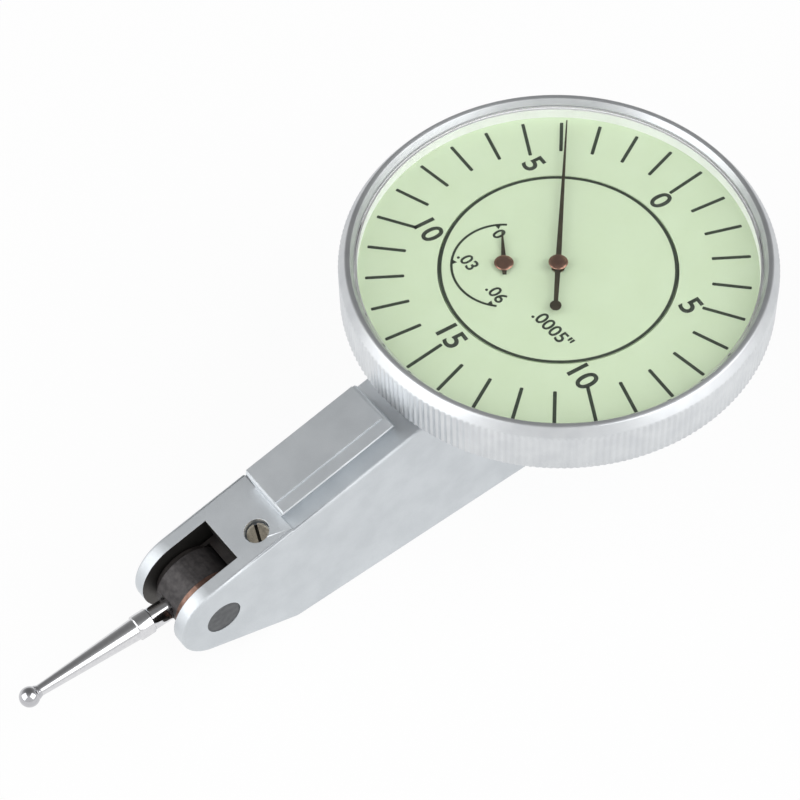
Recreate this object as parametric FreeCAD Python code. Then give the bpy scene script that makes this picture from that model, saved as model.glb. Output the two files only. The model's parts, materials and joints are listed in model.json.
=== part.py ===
import FreeCAD, Part
import math
import os

os.makedirs("parts", exist_ok=True)

# Dial test indicator, millimetres. +X runs along the body from the stylus to the rear, +Z up along
# the dial's axis. The origin lies on that axis, in the flat belly of the body.

# --- driving sizes: body ---------------------------------------------------------------------
BODY_WIDTH = 7.4          # across the bar, along Y
BODY_REAR = 18.5          # rear face of the bar, behind the dial's axis
WALL = 1.35               # side walls, ears and belly of the bar
EDGE_ROUND = 0.3          # rounding of the bar's upper and nose edges
BELLY_ROUND = 0.45        # larger rounding of the two belly edges

PIVOT_HEIGHT = 7.28       # lever pivot, above the belly
TOP_TILT = 12.2           # degrees, slope of the top towards the nose
TOP_OVER_PIVOT = 4.32     # sloping top, above the pivot axis
NOSE_RADIUS = 4.15        # round nose
CHIN_SLOPE = 21.5         # degrees, slope of the underside of the nose

POCKET_BACK = 3.77        # rear edge of the open nose slot, behind the pivot
DECK = 1.9                # roof over the inner slot

# --- driving sizes: dovetails ----------------------------------------------------------------
RAIL_WIDTH = 5.54         # across the top of a dovetail
RAIL_START = 8.86         # front end of the top dovetail, behind the pivot along the slope
RAIL_LENGTH = 12.1
RAIL_RISE = 1.56          # top of the dovetail over the top of the nose
GROOVE_DROP = 0.3         # groove floor under the top of the nose
FLANK_ANGLE = 60.0        # degrees, dovetail flank to its top
RAIL_CHAMFER = 0.15       # upper edges of a dovetail
PANEL_RISE = 0.15         # raised panel on the top of the dovetail
PANEL_SIDE = 1.46         # near edge of that panel, from the middle
PANEL_END = 0.4           # rear edge of that panel, from the rear end of the dovetail
REAR_RAIL_DEPTH = 1.6     # rear dovetail, from the rear face
REAR_RAIL_HEIGHT = 14.1

# --- driving sizes: case, bezel and dial -----------------------------------------------------
BEZEL_RADIUS = 19.0
BEZEL_WALL = 1.7          # gripping band, outside the case
BEZEL_PLAY = 0.1          # bezel to case, radially
BEZEL_RIM_WALL = 1.4      # rim, outside the dial ring and the crystal
BEZEL_CHAMFER = 0.6       # outer chamfer, radially
BEZEL_CHAMFER_DROP = 0.9  # outer chamfer, downwards
BEZEL_LIP = 0.35          # inner bevel, radially
BEZEL_LIP_DROP = 0.55     # inner bevel, downwards
BEZEL_SKIRT = 2.95        # bezel below the face of the dial

DIAL_HEIGHT = 20.47       # face of the dial, above the belly
DIAL_THICK = 0.4
DIAL_SPLIT = 10.4         # ring where the fixed disc ends and the turning dial ring starts
DIAL_GAP = 0.05           # each side of that split
CASE_HEIGHT = 3.0         # round case on top of the bar
CASE_FLOOR = 1.1
CASE_WALL = 0.8
CASE_TOP_GAP = 0.45       # case wall to the dial ring over it

CRYSTAL_OVER = 1.05       # crystal over the face of the dial
CRYSTAL_THICK = 0.45
CRYSTAL_SUNK = 0.05       # crystal under the foot of the bevel
CRYSTAL_RING_WALL = 0.25
SNAP_RING_HEIGHT = 0.3
SNAP_RING_DROP = 0.8      # middle of the wire ring that holds the bezel, under the case's top
SNAP_RING_GAP = 12.0      # degrees left open in the split ring
SNAP_GROOVE = 0.25        # depth of the groove round the case
SNAP_BITE = 0.18          # ring into the groove of the bezel
SNAP_PLAY = 0.1           # ring to the groove of the bezel
SNAP_SEAT = 0.02          # ring to the groove of the case

# --- driving sizes: gearing ------------------------------------------------------------------
SECTOR_MODULE = 0.2
SECTOR_TEETH_FULL = 383   # teeth that a full circle would have
SECTOR_TEETH = 9          # teeth really cut
PINION_TEETH = 9          # both pinions of the train
CONTRATE_MODULE = 0.18
CONTRATE_TEETH = 60
COUNTER_MODULE = 0.0936
COUNTER_PINION_TEETH = 10
COUNTER_WHEEL_TEETH = 90
ROOT_SHARE = 0.44         # width of a tooth at its root, in pitches
TIP_SHARE = 0.22          # width of a tooth at its tip, in pitches
CROWN_SHARE = 0.36        # width of a crown tooth, in pitches
ADDENDUM = 0.85           # tooth over the pitch line, in modules
DEDENDUM = 1.25           # tooth under the pitch line, in modules

ARBOR_HEIGHT = 9.12       # contrate arbor, above the belly
COUNTER_BEARING = 138.5   # degrees, direction of the counter arbor seen from the staff
COUNTER_WHEEL_THICK = 0.3
COUNTER_WHEEL_GAP = 0.2   # wheel over the plate
COUNTER_PINION_MARGIN = 0.1
BALL_TRAVEL = 0.381       # path of the ball for one turn of the main pointer
REST_TEETH = 1.5          # teeth of the sector below the contact at rest

# --- driving sizes: stylus and lever ---------------------------------------------------------
BALL_DIAMETER = 1.8
TIP_DIAMETER = 1.0        # cone where it meets the ball
SHANK_DIAMETER = 2.0
COLLAR_DIAMETER = 2.3
COLLAR_LENGTH = 1.5
COLLAR_BACK = 5.1         # rear face of the collar, in front of the pivot
FLAT_WIDTH = 1.8          # across the two spanner flats
HOLDER_RADIUS = 3.3
HOLDER_SEAT = 0.2         # depth of the stylus seat in the holder
SPIGOT_DIAMETER = 1.4
SPIGOT_LENGTH = 1.9

SIDE_PLAY = 0.16          # lever to the walls of its slot, each side
CHEEK = 0.35
CHEEK_RADIUS = 2.9
FRICTION_WASHER = 0.45
FRICTION_WASHER_RADIUS = 3.4
THRUST_WASHER = 0.25
THRUST_WASHER_RADIUS = 2.6
FRICTION_GAP = 0.02
AXLE_RADIUS = 0.8
JOURNAL_RADIUS = 0.45
JOURNAL_LENGTH = 0.75
SHAFT_PLAY = 0.03         # radial play of every shaft in its bearing
PLUG_RADIUS = 1.68
PLUG_SUNK = 0.05

HOLDER_GAP = 0.2          # holder to the yoke block behind it
YOKE_LENGTH = 3.6
YOKE_DEPTH = 4.6          # height of the yoke block behind the holder
YOKE_DROP = 0.6           # top of the yoke block under the roof of the slot
YOKE_SHOULDER = 1.2       # full-width front part of the yoke block
ARM_START_GAP = 0.2       # arm behind that shoulder
ARM_SUNK = 0.05           # arm under the outer face of the yoke
ARM_OVERLAP = 2.6         # arm on the toothed sector
ARM_THICK = 0.6
ARM_ROOT = 2.6            # height of the arm at the yoke
ARM_END = 1.4             # height of the arm at the gear
SECTOR_THICK = 0.6
SECTOR_DEPTH = 3.6        # toothed sector, from its pitch line inwards
SECTOR_TAPER = 0.4        # width of the sector's foot, as a share of its toothed edge
RIVET_RADIUS = 0.35
RIVET_EDGE = 0.7          # first rivet from the end of the piece it holds
RIVET_STEP = 1.1

# --- driving sizes: movement -----------------------------------------------------------------
PLATE_RADIUS = 10.2
PLATE_THICK = 0.9
SLOT_MOUTH = 8.5          # half length of the opening in the case floor
SCREW_CIRCLE = 9.0        # plate screws and dial pillars, from the dial's axis
SCREW_HEAD_RADIUS = 0.75
SCREW_HEAD = 0.35
SCREW_SHANK_RADIUS = 0.4
SCREW_SLOT = 0.22
SCREW_SHORT = 0.1         # end of a screw short of the far face
PILLAR_RADIUS = 0.6
PLATE_SCREW_ANGLES = (20.0, 105.0, 260.0)
PILLAR_ANGLES = (80.0, 200.0, 320.0)

STAFF_RADIUS = 0.3
STAFF_PIVOT_RADIUS = 0.15
STAFF_PIVOT_LENGTH = 0.65
STAFF_SHAKE = 0.1         # end play of a shaft over its bearing
STAFF_PINION_MARGIN = 0.4 # pinion past the crown teeth, each end
STAFF_PINION_LIFT = 0.9   # pinion over the lower bearing
JEWEL_WALL = 0.35
BRACKET_RIM = 0.25        # metal round the lower bearing stone
BRACKET_FOOT = 0.7
BRACKET_LEG = 0.9
BRACKET_LEG_GAP = 0.65    # leg to the tips of the pinion
BRACKET_FLANGE_RIM = 0.3
BRACKET_WIDTH = 1.2
BRACKET_SIDE = 0.2        # middle of the bracket, beside the staff
BRACKET_REACH = 6.4
CONTRATE_THICK = 0.4      # disc of the contrate wheel
CONTRATE_FACE = 0.9       # radial length of the crown teeth
ARBOR_RADIUS = 0.35
ARBOR_PINION_LENGTH = 1.0
ARBOR_JOURNAL_RADIUS = 0.2
ARBOR_JOURNAL_LENGTH = 0.7
WHEEL_WINDOWS = 5
WINDOW_SHARE = 0.27       # radius of a window, as a share of the room for it
BUSH_RADIUS = 0.9
SPRING_THICK = 0.08
SPRING_HEIGHT = 0.25
SPRING_PITCH = 0.32
SPRING_HALF_TURNS = 12
SPRING_GAP = 0.25         # spring over the counter wheel
COLLET_RADIUS = 0.6
COLLET_HEIGHT = 0.4
STUD_RADIUS = 0.3
STUD_ANGLE = -41.0        # degrees, direction of the stud from the staff
STUD_OVER = 0.1           # stud over the spring

# --- driving sizes: pointers and stop screw --------------------------------------------------
MAIN_HEIGHT = 0.6         # underside of the main pointer, over the dial
COUNTER_HEIGHT = 0.2      # underside of the counter pointer, over the dial
POINTER_THICK = 0.12
MAIN_SHORT = 1.2          # point of the main pointer, short of the rim's bore
MAIN_TAIL = 5.2
POINTER_ROOT = 0.5        # width at the shaft
POINTER_TIP = 0.12        # width at the point
WEIGHT_RADIUS = 0.5
MAIN_REST = 48.0          # degrees, direction of the main pointer at rest
COUNTER_REACH = 3.5
COUNTER_TAIL = 1.2
COUNTER_REST = 54.0
TAIL_SHARE = 0.7          # width at the end of the tail, as a share of the root
BOSS_SHARE = 0.9          # boss of a pointer, as a share of its cap
HUB_RADIUS = 0.85
HUB_RISE = 0.2
HUB_BORE_PLAY = 0.3       # dial disc to the shafts that pass through it

STOP_SCREW_BACK = 6.47    # behind the pivot, along the slope
STOP_SCREW_SIDE = 1.5     # off the middle, towards the near side
STOP_HEAD_RADIUS = 0.98
STOP_HEAD = 0.45
STOP_SLOT = 0.28
STOP_SLOT_TURN = 68.0     # degrees, from the slope's fall line towards the far side
STOP_SHANK_RADIUS = 0.5
STOP_RECESS_RADIUS = 1.12
STOP_RECESS = 0.95
STOP_TIP_GAP = 0.05

PAST = 1.0                # how far a cutter runs past the face that it opens
TINY = 1e-6               # two places closer than this are the same

# --- worked out from the sizes above ---------------------------------------------------------
HALF_WIDTH = BODY_WIDTH / 2
SLOT_HALF = HALF_WIDTH - WALL
YOKE_HALF = SLOT_HALF - SIDE_PLAY
TILT = math.radians(TOP_TILT)
CHIN = math.radians(CHIN_SLOPE)
FLANK_RUN = 1 / math.tan(math.radians(FLANK_ANGLE))

SECTOR_RADIUS = SECTOR_MODULE * SECTOR_TEETH_FULL / 2
ARBOR_PINION_RADIUS = SECTOR_MODULE * PINION_TEETH / 2
ARBOR_DISTANCE = SECTOR_RADIUS + ARBOR_PINION_RADIUS
ARBOR_ANGLE = math.asin((ARBOR_HEIGHT - PIVOT_HEIGHT) / ARBOR_DISTANCE)
SECTOR_PITCH = 2 * math.pi / SECTOR_TEETH_FULL
PIVOT_FORWARD = ARBOR_DISTANCE * math.cos(ARBOR_ANGLE)
PIVOT = FreeCAD.Vector(-PIVOT_FORWARD, 0, PIVOT_HEIGHT)
CONTRATE_RADIUS = CONTRATE_MODULE * CONTRATE_TEETH / 2
STAFF_PINION_RADIUS = CONTRATE_MODULE * PINION_TEETH / 2
COUNTER_PINION_RADIUS = COUNTER_MODULE * COUNTER_PINION_TEETH / 2
COUNTER_WHEEL_RADIUS = COUNTER_MODULE * COUNTER_WHEEL_TEETH / 2
TRAIN_RATIO = SECTOR_TEETH_FULL / PINION_TEETH * CONTRATE_TEETH / PINION_TEETH
STYLUS_LENGTH = BALL_TRAVEL * TRAIN_RATIO / (2 * math.pi)

BEZEL_BORE = BEZEL_RADIUS - BEZEL_WALL
BEZEL_RIM_BORE = BEZEL_RADIUS - BEZEL_RIM_WALL
CASE_RADIUS = BEZEL_BORE - BEZEL_PLAY
CASE_INNER = CASE_RADIUS - CASE_WALL
DIAL_UNDER = DIAL_HEIGHT - DIAL_THICK
CASE_TOP = DIAL_UNDER - CASE_TOP_GAP
CASE_BOTTOM = CASE_TOP - CASE_HEIGHT
FLOOR_TOP = CASE_BOTTOM + CASE_FLOOR
SNAP_RING_CENTRE = CASE_TOP - SNAP_RING_DROP
CRYSTAL_UNDER = DIAL_HEIGHT + CRYSTAL_OVER
CRYSTAL_TOP = CRYSTAL_UNDER + CRYSTAL_THICK
LIP_FOOT = CRYSTAL_TOP + CRYSTAL_SUNK
BEZEL_TOP = LIP_FOOT + BEZEL_LIP_DROP
BEZEL_SHOULDER = BEZEL_TOP - BEZEL_CHAMFER_DROP
BEZEL_BOTTOM = DIAL_HEIGHT - BEZEL_SKIRT
PLATE_TOP = FLOOR_TOP + PLATE_THICK
MAIN_UNDER = DIAL_HEIGHT + MAIN_HEIGHT
COUNTER_UNDER = DIAL_HEIGHT + COUNTER_HEIGHT
MAIN_REACH = BEZEL_RIM_BORE - MAIN_SHORT

COUNTER_CENTRE = COUNTER_PINION_RADIUS + COUNTER_WHEEL_RADIUS
COUNTER_X = COUNTER_CENTRE * math.cos(math.radians(COUNTER_BEARING))
COUNTER_Y = COUNTER_CENTRE * math.sin(math.radians(COUNTER_BEARING))
COUNTER_WHEEL_BOTTOM = PLATE_TOP + COUNTER_WHEEL_GAP
SPRING_BOTTOM = COUNTER_WHEEL_BOTTOM + COUNTER_WHEEL_THICK + SPRING_GAP
COLLET_BOTTOM = SPRING_BOTTOM - (COLLET_HEIGHT - SPRING_HEIGHT) / 2
CROWN_TIP = -STAFF_PINION_RADIUS + ADDENDUM * CONTRATE_MODULE
CROWN_ROOT = -STAFF_PINION_RADIUS - DEDENDUM * CONTRATE_MODULE
CROWN_MID = ARBOR_HEIGHT + CONTRATE_RADIUS
STAFF_PINION_HALF = CONTRATE_FACE / 2 + STAFF_PINION_MARGIN
STAFF_PINION_BOTTOM = CROWN_MID - STAFF_PINION_HALF
FOOT_TOP = STAFF_PINION_BOTTOM - STAFF_PINION_LIFT
BRACKET_BOTTOM = FOOT_TOP - BRACKET_FOOT
FLANGE_BOTTOM = FLOOR_TOP - PLATE_THICK
LEG_FRONT = STAFF_PINION_RADIUS + ADDENDUM * CONTRATE_MODULE + BRACKET_LEG_GAP
LEG_BACK = LEG_FRONT + BRACKET_LEG
SPRING_OUTER = COLLET_RADIUS + SHAFT_PLAY + SPRING_THICK + SPRING_PITCH / 2 * SPRING_HALF_TURNS

NEAR_WASHER_OUT = -(YOKE_HALF - CHEEK)
NEAR_WASHER_IN = NEAR_WASHER_OUT + FRICTION_WASHER
FAR_WASHER_OUT = YOKE_HALF - CHEEK
FAR_WASHER_IN = FAR_WASHER_OUT - THRUST_WASHER
ARM_OUT = YOKE_HALF - ARM_SUNK
ARM_IN = ARM_OUT - ARM_THICK
SECTOR_IN = ARM_IN - SECTOR_THICK
YOKE_TOP = -DECK - YOKE_DROP
HOLDER_CLEAR = HOLDER_RADIUS + HOLDER_GAP
YOKE_BACK = HOLDER_CLEAR + YOKE_LENGTH
SECTOR_FOOT = SECTOR_RADIUS - SECTOR_DEPTH
STYLUS_SEAT = HOLDER_RADIUS - HOLDER_SEAT


def vec(x, y, z):
    return FreeCAD.Vector(x, y, z)


def on_top(back, rise, side=0.0):
    """Point measured along the sloping top from above the pivot, and square to that slope."""
    lift = TOP_OVER_PIVOT + rise
    x = -PIVOT_FORWARD + back * math.cos(TILT) - lift * math.sin(TILT)
    z = PIVOT_HEIGHT + back * math.sin(TILT) + lift * math.cos(TILT)
    return vec(x, side, z)


def polar(radius, degrees, z=0.0):
    """Point on a circle round the dial's axis."""
    angle = math.radians(degrees)
    return vec(radius * math.cos(angle), radius * math.sin(angle), z)


def from_pivot(radius, angle):
    """Point in the lever's plane, at an angle in radians over the horizontal behind the pivot."""
    return PIVOT + vec(radius * math.cos(angle), 0, radius * math.sin(angle))


def rod(radius, bottom, top, x=0.0, y=0.0):
    return Part.makeCylinder(radius, top - bottom, vec(x, y, bottom))


def rod_across(radius, start, end, x, z):
    """Cylinder along Y."""
    return Part.makeCylinder(radius, end - start, vec(x, start, z), vec(0, 1, 0))


def block(x0, x1, y0, y1, z0, z1):
    return Part.makeBox(x1 - x0, y1 - y0, z1 - z0, vec(x0, y0, z0))


def slab(points, start, end):
    """Flat outline in the XZ plane, given thickness from Y start to Y end."""
    outline = [vec(p.x, start, p.z) for p in points]
    face = Part.Face(Part.makePolygon(outline + outline[:1]))
    return face.extrude(vec(0, end - start, 0))


def turned(profile):
    """Outline of (radius, height) points turned round the dial's axis."""
    points = [vec(r, 0, z) for r, z in profile]
    face = Part.Face(Part.makePolygon(points + points[:1]))
    return face.revolve(vec(0, 0, 0), vec(0, 0, 1), 360)


def tooth(radius, module, pitch):
    """Corners of one tooth, as radius and angle from its middle."""
    root = radius - DEDENDUM * module
    tip = radius + ADDENDUM * module
    half_root = pitch * ROOT_SHARE / 2
    half_tip = pitch * TIP_SHARE / 2
    return (root, -half_root), (tip, -half_tip), (tip, half_tip), (root, half_root)


def gear_face(teeth, radius, module, phase):
    """Toothed outline round the Z axis, with the middle of one tooth at the phase angle."""
    pitch = 2 * math.pi / teeth
    points = []
    for index in range(teeth):
        for r, a in tooth(radius, module, pitch):
            angle = phase + index * pitch + a
            points.append(vec(r * math.cos(angle), r * math.sin(angle), 0))
    return Part.Face(Part.makePolygon(points + points[:1]))


def spur(teeth, radius, module, phase, bottom, top, x=0.0, y=0.0):
    """Toothed wheel on an upright axis."""
    gear = gear_face(teeth, radius, module, phase).extrude(vec(0, 0, top - bottom))
    gear.translate(vec(x, y, bottom))
    return gear


def screw(head_radius, head, shank_radius, length, slot):
    """Slotted cheese-head screw that points down, with its head's seat at the origin."""
    body = rod(head_radius, 0, head).fuse(rod(shank_radius, -length, 0))
    cut = block(-head_radius, head_radius, -slot / 2, slot / 2, head / 2, head)
    return body.cut(cut).removeSplitter()


def write(name, shape):
    shape.exportStep("parts/" + name + ".step")


# --- housing ---------------------------------------------------------------------------------

def groove_meets_case():
    """X where the groove floor beside the dovetail reaches the underside of the case."""
    start = on_top(RAIL_START, -GROOVE_DROP)
    return start.x + (CASE_BOTTOM - start.z) / math.tan(TILT)


def bar_outline():
    """Side outline of the bar: sloping top, round nose, chin and flat belly."""
    centre = on_top(0, -NOSE_RADIUS)
    crown = on_top(0, 0)
    chin = centre + vec(-math.sin(CHIN), 0, -math.cos(CHIN)) * NOSE_RADIUS
    front = centre + vec(-NOSE_RADIUS, 0, 0)
    kink = vec(chin.x + chin.z / math.tan(CHIN), 0, 0)
    run = [
        crown,
        on_top(RAIL_START, 0),
        on_top(RAIL_START, -GROOVE_DROP),
        vec(groove_meets_case(), 0, CASE_BOTTOM),
        vec(BODY_REAR, 0, CASE_BOTTOM),
        vec(BODY_REAR, 0, 0),
        kink,
        chin,
    ]
    edges = [Part.makeLine(a, b) for a, b in zip(run, run[1:])]
    edges.append(Part.Arc(chin, front, crown).toShape())
    return Part.Wire(edges)


def side_edges(solid, wanted):
    """Edges along the outline on both sides of the bar, as far as they are wanted."""
    found = []
    for edge in solid.Edges:
        ends = [vertex.Point for vertex in edge.Vertexes]
        across = ends[0].y * ends[-1].y < 0
        if not across and abs(abs(ends[0].y) - HALF_WIDTH) < TINY and wanted(ends):
            found.append(edge)
    return found


def on_belly(ends):
    return all(abs(p.z) < TINY for p in ends)


def on_upper_edge(ends):
    under_case = all(abs(p.z - CASE_BOTTOM) < TINY for p in ends)
    at_rear = all(abs(p.x - BODY_REAR) < TINY for p in ends)
    return not (on_belly(ends) or under_case or at_rear)


def bar():
    """Solid bar with rounded edges."""
    wire = bar_outline()
    wire.translate(vec(0, -HALF_WIDTH, 0))
    solid = Part.Face(wire).extrude(vec(0, BODY_WIDTH, 0))
    solid = solid.makeFillet(BELLY_ROUND, side_edges(solid, on_belly))
    return solid.makeFillet(EDGE_ROUND, side_edges(solid, on_upper_edge))


def inner_slot():
    """Space in the bar for the lever and the movement, open at the nose and in the case floor."""
    deck_front = on_top(POCKET_BACK, -DECK)
    centre = on_top(0, -NOSE_RADIUS)
    inner = NOSE_RADIUS - WALL
    chin = centre + vec(-math.sin(CHIN), 0, -math.cos(CHIN)) * inner
    floor_start = vec(chin.x + (chin.z - WALL) / math.tan(CHIN), 0, WALL)
    roof_end_x = deck_front.x + (CASE_BOTTOM - WALL - deck_front.z) / math.tan(TILT)
    roof_x = min(roof_end_x, -SLOT_MOUTH)
    roof = vec(roof_x, 0, deck_front.z + (roof_x - deck_front.x) * math.tan(TILT))
    points = [
        deck_front,
        roof,
        vec(-SLOT_MOUTH, 0, roof.z),
        vec(-SLOT_MOUTH, 0, FLOOR_TOP + PAST),
        vec(SLOT_MOUTH, 0, FLOOR_TOP + PAST),
        vec(SLOT_MOUTH, 0, WALL),
        floor_start,
        chin,
    ]
    return slab(points, -SLOT_HALF, SLOT_HALF)


def nose_pocket():
    """Slot through the nose from top to underside, square to the sloping top."""
    reach = 2 * NOSE_RADIUS
    points = [
        on_top(POCKET_BACK, reach),
        on_top(POCKET_BACK, -2 * reach),
        on_top(-reach, -2 * reach),
        on_top(-reach, reach),
    ]
    return slab(points, -SLOT_HALF, SLOT_HALF)


def dovetail(length, height, far_edge):
    """Dovetail bar along X on the XY plane, wider at its top, with its middle line on X."""
    top = RAIL_WIDTH / 2
    foot = top - height * FLANK_RUN
    outline = [vec(0, -foot, 0), vec(0, -top, height), vec(0, top, height), vec(0, foot, 0)]
    solid = Part.Face(Part.makePolygon(outline + outline[:1])).extrude(vec(length, 0, 0))
    upper = [e for e in solid.Edges if all(abs(v.Point.z - height) < TINY for v in e.Vertexes)]
    if not far_edge:
        upper = [e for e in upper if any(v.Point.y < 0 for v in e.Vertexes)]
    return solid.makeChamfer(RAIL_CHAMFER, upper)


def top_dovetail():
    """Dovetail on the sloping top, with a raised panel that leaves a strip along its near side."""
    height = RAIL_RISE + GROOVE_DROP
    rail = dovetail(RAIL_LENGTH, height, False)
    end = RAIL_LENGTH - PANEL_END
    rail = rail.fuse(block(RAIL_CHAMFER, end, -PANEL_SIDE, RAIL_WIDTH / 2, height, height + PANEL_RISE))
    rail.rotate(vec(0, 0, 0), vec(0, 1, 0), -TOP_TILT)
    rail.translate(on_top(RAIL_START, -GROOVE_DROP))
    return rail


def rear_dovetail():
    rail = dovetail(REAR_RAIL_HEIGHT, REAR_RAIL_DEPTH, True)
    rail.rotate(vec(0, 0, 0), vec(0, 1, 0), -90)
    rail.rotate(vec(0, 0, 0), vec(0, 0, 1), 180)
    rail.translate(vec(BODY_REAR, 0, 0))
    return rail


def ring_section(inner, outer, half):
    """Upright rectangle round the middle of the snap ring."""
    low = SNAP_RING_CENTRE - half
    high = SNAP_RING_CENTRE + half
    return [(inner, low), (outer, low), (outer, high), (inner, high)]


def case():
    """Round dish on the bar, with a groove outside for the snap ring."""
    dish = turned([
        (0, CASE_BOTTOM), (CASE_RADIUS, CASE_BOTTOM), (CASE_RADIUS, CASE_TOP),
        (CASE_INNER, CASE_TOP), (CASE_INNER, FLOOR_TOP), (0, FLOOR_TOP),
    ])
    half = SNAP_RING_HEIGHT / 2 + SNAP_SEAT
    inner = CASE_RADIUS - SNAP_GROOVE
    outer = CASE_RADIUS + PAST
    return dish.cut(turned(ring_section(inner, outer, half)))


def stop_screw_at(shape):
    """Turns an upright shape square to the sloping top and sets it at the stop screw's place."""
    shape.rotate(vec(0, 0, 0), vec(0, 1, 0), -TOP_TILT)
    shape.translate(on_top(STOP_SCREW_BACK, -STOP_RECESS, -STOP_SCREW_SIDE))
    return shape


def housing():
    body = bar().fuse([case(), top_dovetail(), rear_dovetail()]).removeSplitter()
    cuts = [inner_slot(), nose_pocket()]
    cuts.append(rod_across(PLUG_RADIUS, -BODY_WIDTH, BODY_WIDTH, PIVOT.x, PIVOT.z))
    cuts.append(rod_across(BUSH_RADIUS, -BODY_WIDTH, BODY_WIDTH, 0, ARBOR_HEIGHT))
    cuts.append(stop_screw_at(rod(STOP_RECESS_RADIUS, 0, STOP_RECESS + PAST)))
    cuts.append(stop_screw_at(rod(STOP_SHANK_RADIUS, -DECK, 0)))
    for angle in PLATE_SCREW_ANGLES:
        at = polar(SCREW_CIRCLE, angle)
        cuts.append(rod(SCREW_SHANK_RADIUS, CASE_BOTTOM, FLOOR_TOP, at.x, at.y))
    return body.cut(cuts)


# --- pieces in the housing -------------------------------------------------------------------

def pivot_plug(side):
    """Bearing plug in one ear, with a blind hole for the axle's journal."""
    inner = side * SLOT_HALF
    outer = side * (HALF_WIDTH - PLUG_SUNK)
    plug = rod_across(PLUG_RADIUS, min(inner, outer), max(inner, outer), PIVOT.x, PIVOT.z)
    mouth = side * (SLOT_HALF - PAST)
    end = side * (YOKE_HALF + JOURNAL_LENGTH + SHAFT_PLAY)
    hole = rod_across(JOURNAL_RADIUS + SHAFT_PLAY, min(mouth, end), max(mouth, end), PIVOT.x, PIVOT.z)
    return plug.cut(hole)


def arbor_bush(side):
    """Bearing bush of the contrate arbor in one wall."""
    inner = side * SLOT_HALF
    outer = side * HALF_WIDTH
    bush = rod_across(BUSH_RADIUS, min(inner, outer), max(inner, outer), 0, ARBOR_HEIGHT)
    mouth = side * (SLOT_HALF - PAST)
    end = side * (SLOT_HALF + ARBOR_JOURNAL_LENGTH + SHAFT_PLAY)
    radius = ARBOR_JOURNAL_RADIUS + SHAFT_PLAY
    return bush.cut(rod_across(radius, min(mouth, end), max(mouth, end), 0, ARBOR_HEIGHT))


def lever_stop_screw():
    tip = -YOKE_TOP - STOP_RECESS - STOP_TIP_GAP
    upright = screw(STOP_HEAD_RADIUS, STOP_HEAD, STOP_SHANK_RADIUS, tip, STOP_SLOT)
    upright.rotate(vec(0, 0, 0), vec(0, 0, 1), STOP_SLOT_TURN)
    return stop_screw_at(upright)


def movement_plate():
    plate = rod(PLATE_RADIUS, FLOOR_TOP, PLATE_TOP)
    holes = [
        rod(STAFF_RADIUS + SHAFT_PLAY + JEWEL_WALL, FLOOR_TOP, PLATE_TOP),
        rod(STAFF_RADIUS + SHAFT_PLAY + JEWEL_WALL, FLOOR_TOP, PLATE_TOP, COUNTER_X, COUNTER_Y),
        rod(STUD_RADIUS, FLOOR_TOP, PLATE_TOP, stud_place().x, stud_place().y),
    ]
    for angle in PLATE_SCREW_ANGLES:
        at = polar(SCREW_CIRCLE, angle)
        holes.append(rod(SCREW_SHANK_RADIUS, FLOOR_TOP, PLATE_TOP, at.x, at.y))
    for x in bracket_screw_places():
        holes.append(rod(SCREW_SHANK_RADIUS, FLOOR_TOP, PLATE_TOP, x, BRACKET_SIDE))
    return plate.cut(holes)


def plate_screws():
    shapes = []
    for angle in PLATE_SCREW_ANGLES:
        length = PLATE_THICK + CASE_FLOOR - SCREW_SHORT
        one = screw(SCREW_HEAD_RADIUS, SCREW_HEAD, SCREW_SHANK_RADIUS, length, SCREW_SLOT)
        one.rotate(vec(0, 0, 0), vec(0, 0, 1), angle)
        one.translate(polar(SCREW_CIRCLE, angle, PLATE_TOP))
        shapes.append(one)
    return Part.makeCompound(shapes)


def bracket_screw_places():
    return (LEG_BACK + SCREW_HEAD_RADIUS + SCREW_SHORT, BRACKET_REACH - SCREW_HEAD_RADIUS)


def staff_bracket():
    """Hanger under the plate that carries the lower bearing of the centre staff."""
    near = BRACKET_SIDE - BRACKET_WIDTH / 2
    far = BRACKET_SIDE + BRACKET_WIDTH / 2
    rim = BRACKET_FLANGE_RIM
    stone = STAFF_PIVOT_RADIUS + SHAFT_PLAY + JEWEL_WALL
    boss_radius = stone + BRACKET_RIM
    foot = block(-boss_radius, LEG_BACK, near, far, BRACKET_BOTTOM, FOOT_TOP)
    boss = rod(boss_radius, BRACKET_BOTTOM, FOOT_TOP)
    leg = block(LEG_FRONT, LEG_BACK, near, far, BRACKET_BOTTOM, FLOOR_TOP)
    flange = block(LEG_FRONT, BRACKET_REACH, near - rim, far + rim, FLANGE_BOTTOM, FLOOR_TOP)
    body = foot.fuse([boss, leg, flange]).removeSplitter()
    holes = [rod(stone, BRACKET_BOTTOM, FOOT_TOP)]
    for x in bracket_screw_places():
        holes.append(rod(SCREW_SHANK_RADIUS, FLANGE_BOTTOM, FLOOR_TOP, x, BRACKET_SIDE))
    return body.cut(holes)


def bracket_screws():
    shapes = []
    length = PLATE_TOP - FLANGE_BOTTOM - SCREW_SHORT
    for x in bracket_screw_places():
        one = screw(SCREW_HEAD_RADIUS, SCREW_HEAD, SCREW_SHANK_RADIUS, length, SCREW_SLOT)
        one.translate(vec(x, BRACKET_SIDE, PLATE_TOP))
        shapes.append(one)
    return Part.makeCompound(shapes)


def jewel(shaft, bottom, top, x=0.0, y=0.0):
    """Ring-shaped bearing stone."""
    hole = shaft + SHAFT_PLAY
    return rod(hole + JEWEL_WALL, bottom, top, x, y).cut(rod(hole, bottom, top, x, y))


def stud_place():
    """Hairspring stud, beside the outer coil and away from the counter wheel."""
    return polar(SPRING_OUTER + STUD_RADIUS + SPRING_THICK, STUD_ANGLE)


def hairspring_stud():
    at = stud_place()
    return rod(STUD_RADIUS, FLOOR_TOP, SPRING_BOTTOM + SPRING_HEIGHT + STUD_OVER, at.x, at.y)


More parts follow.
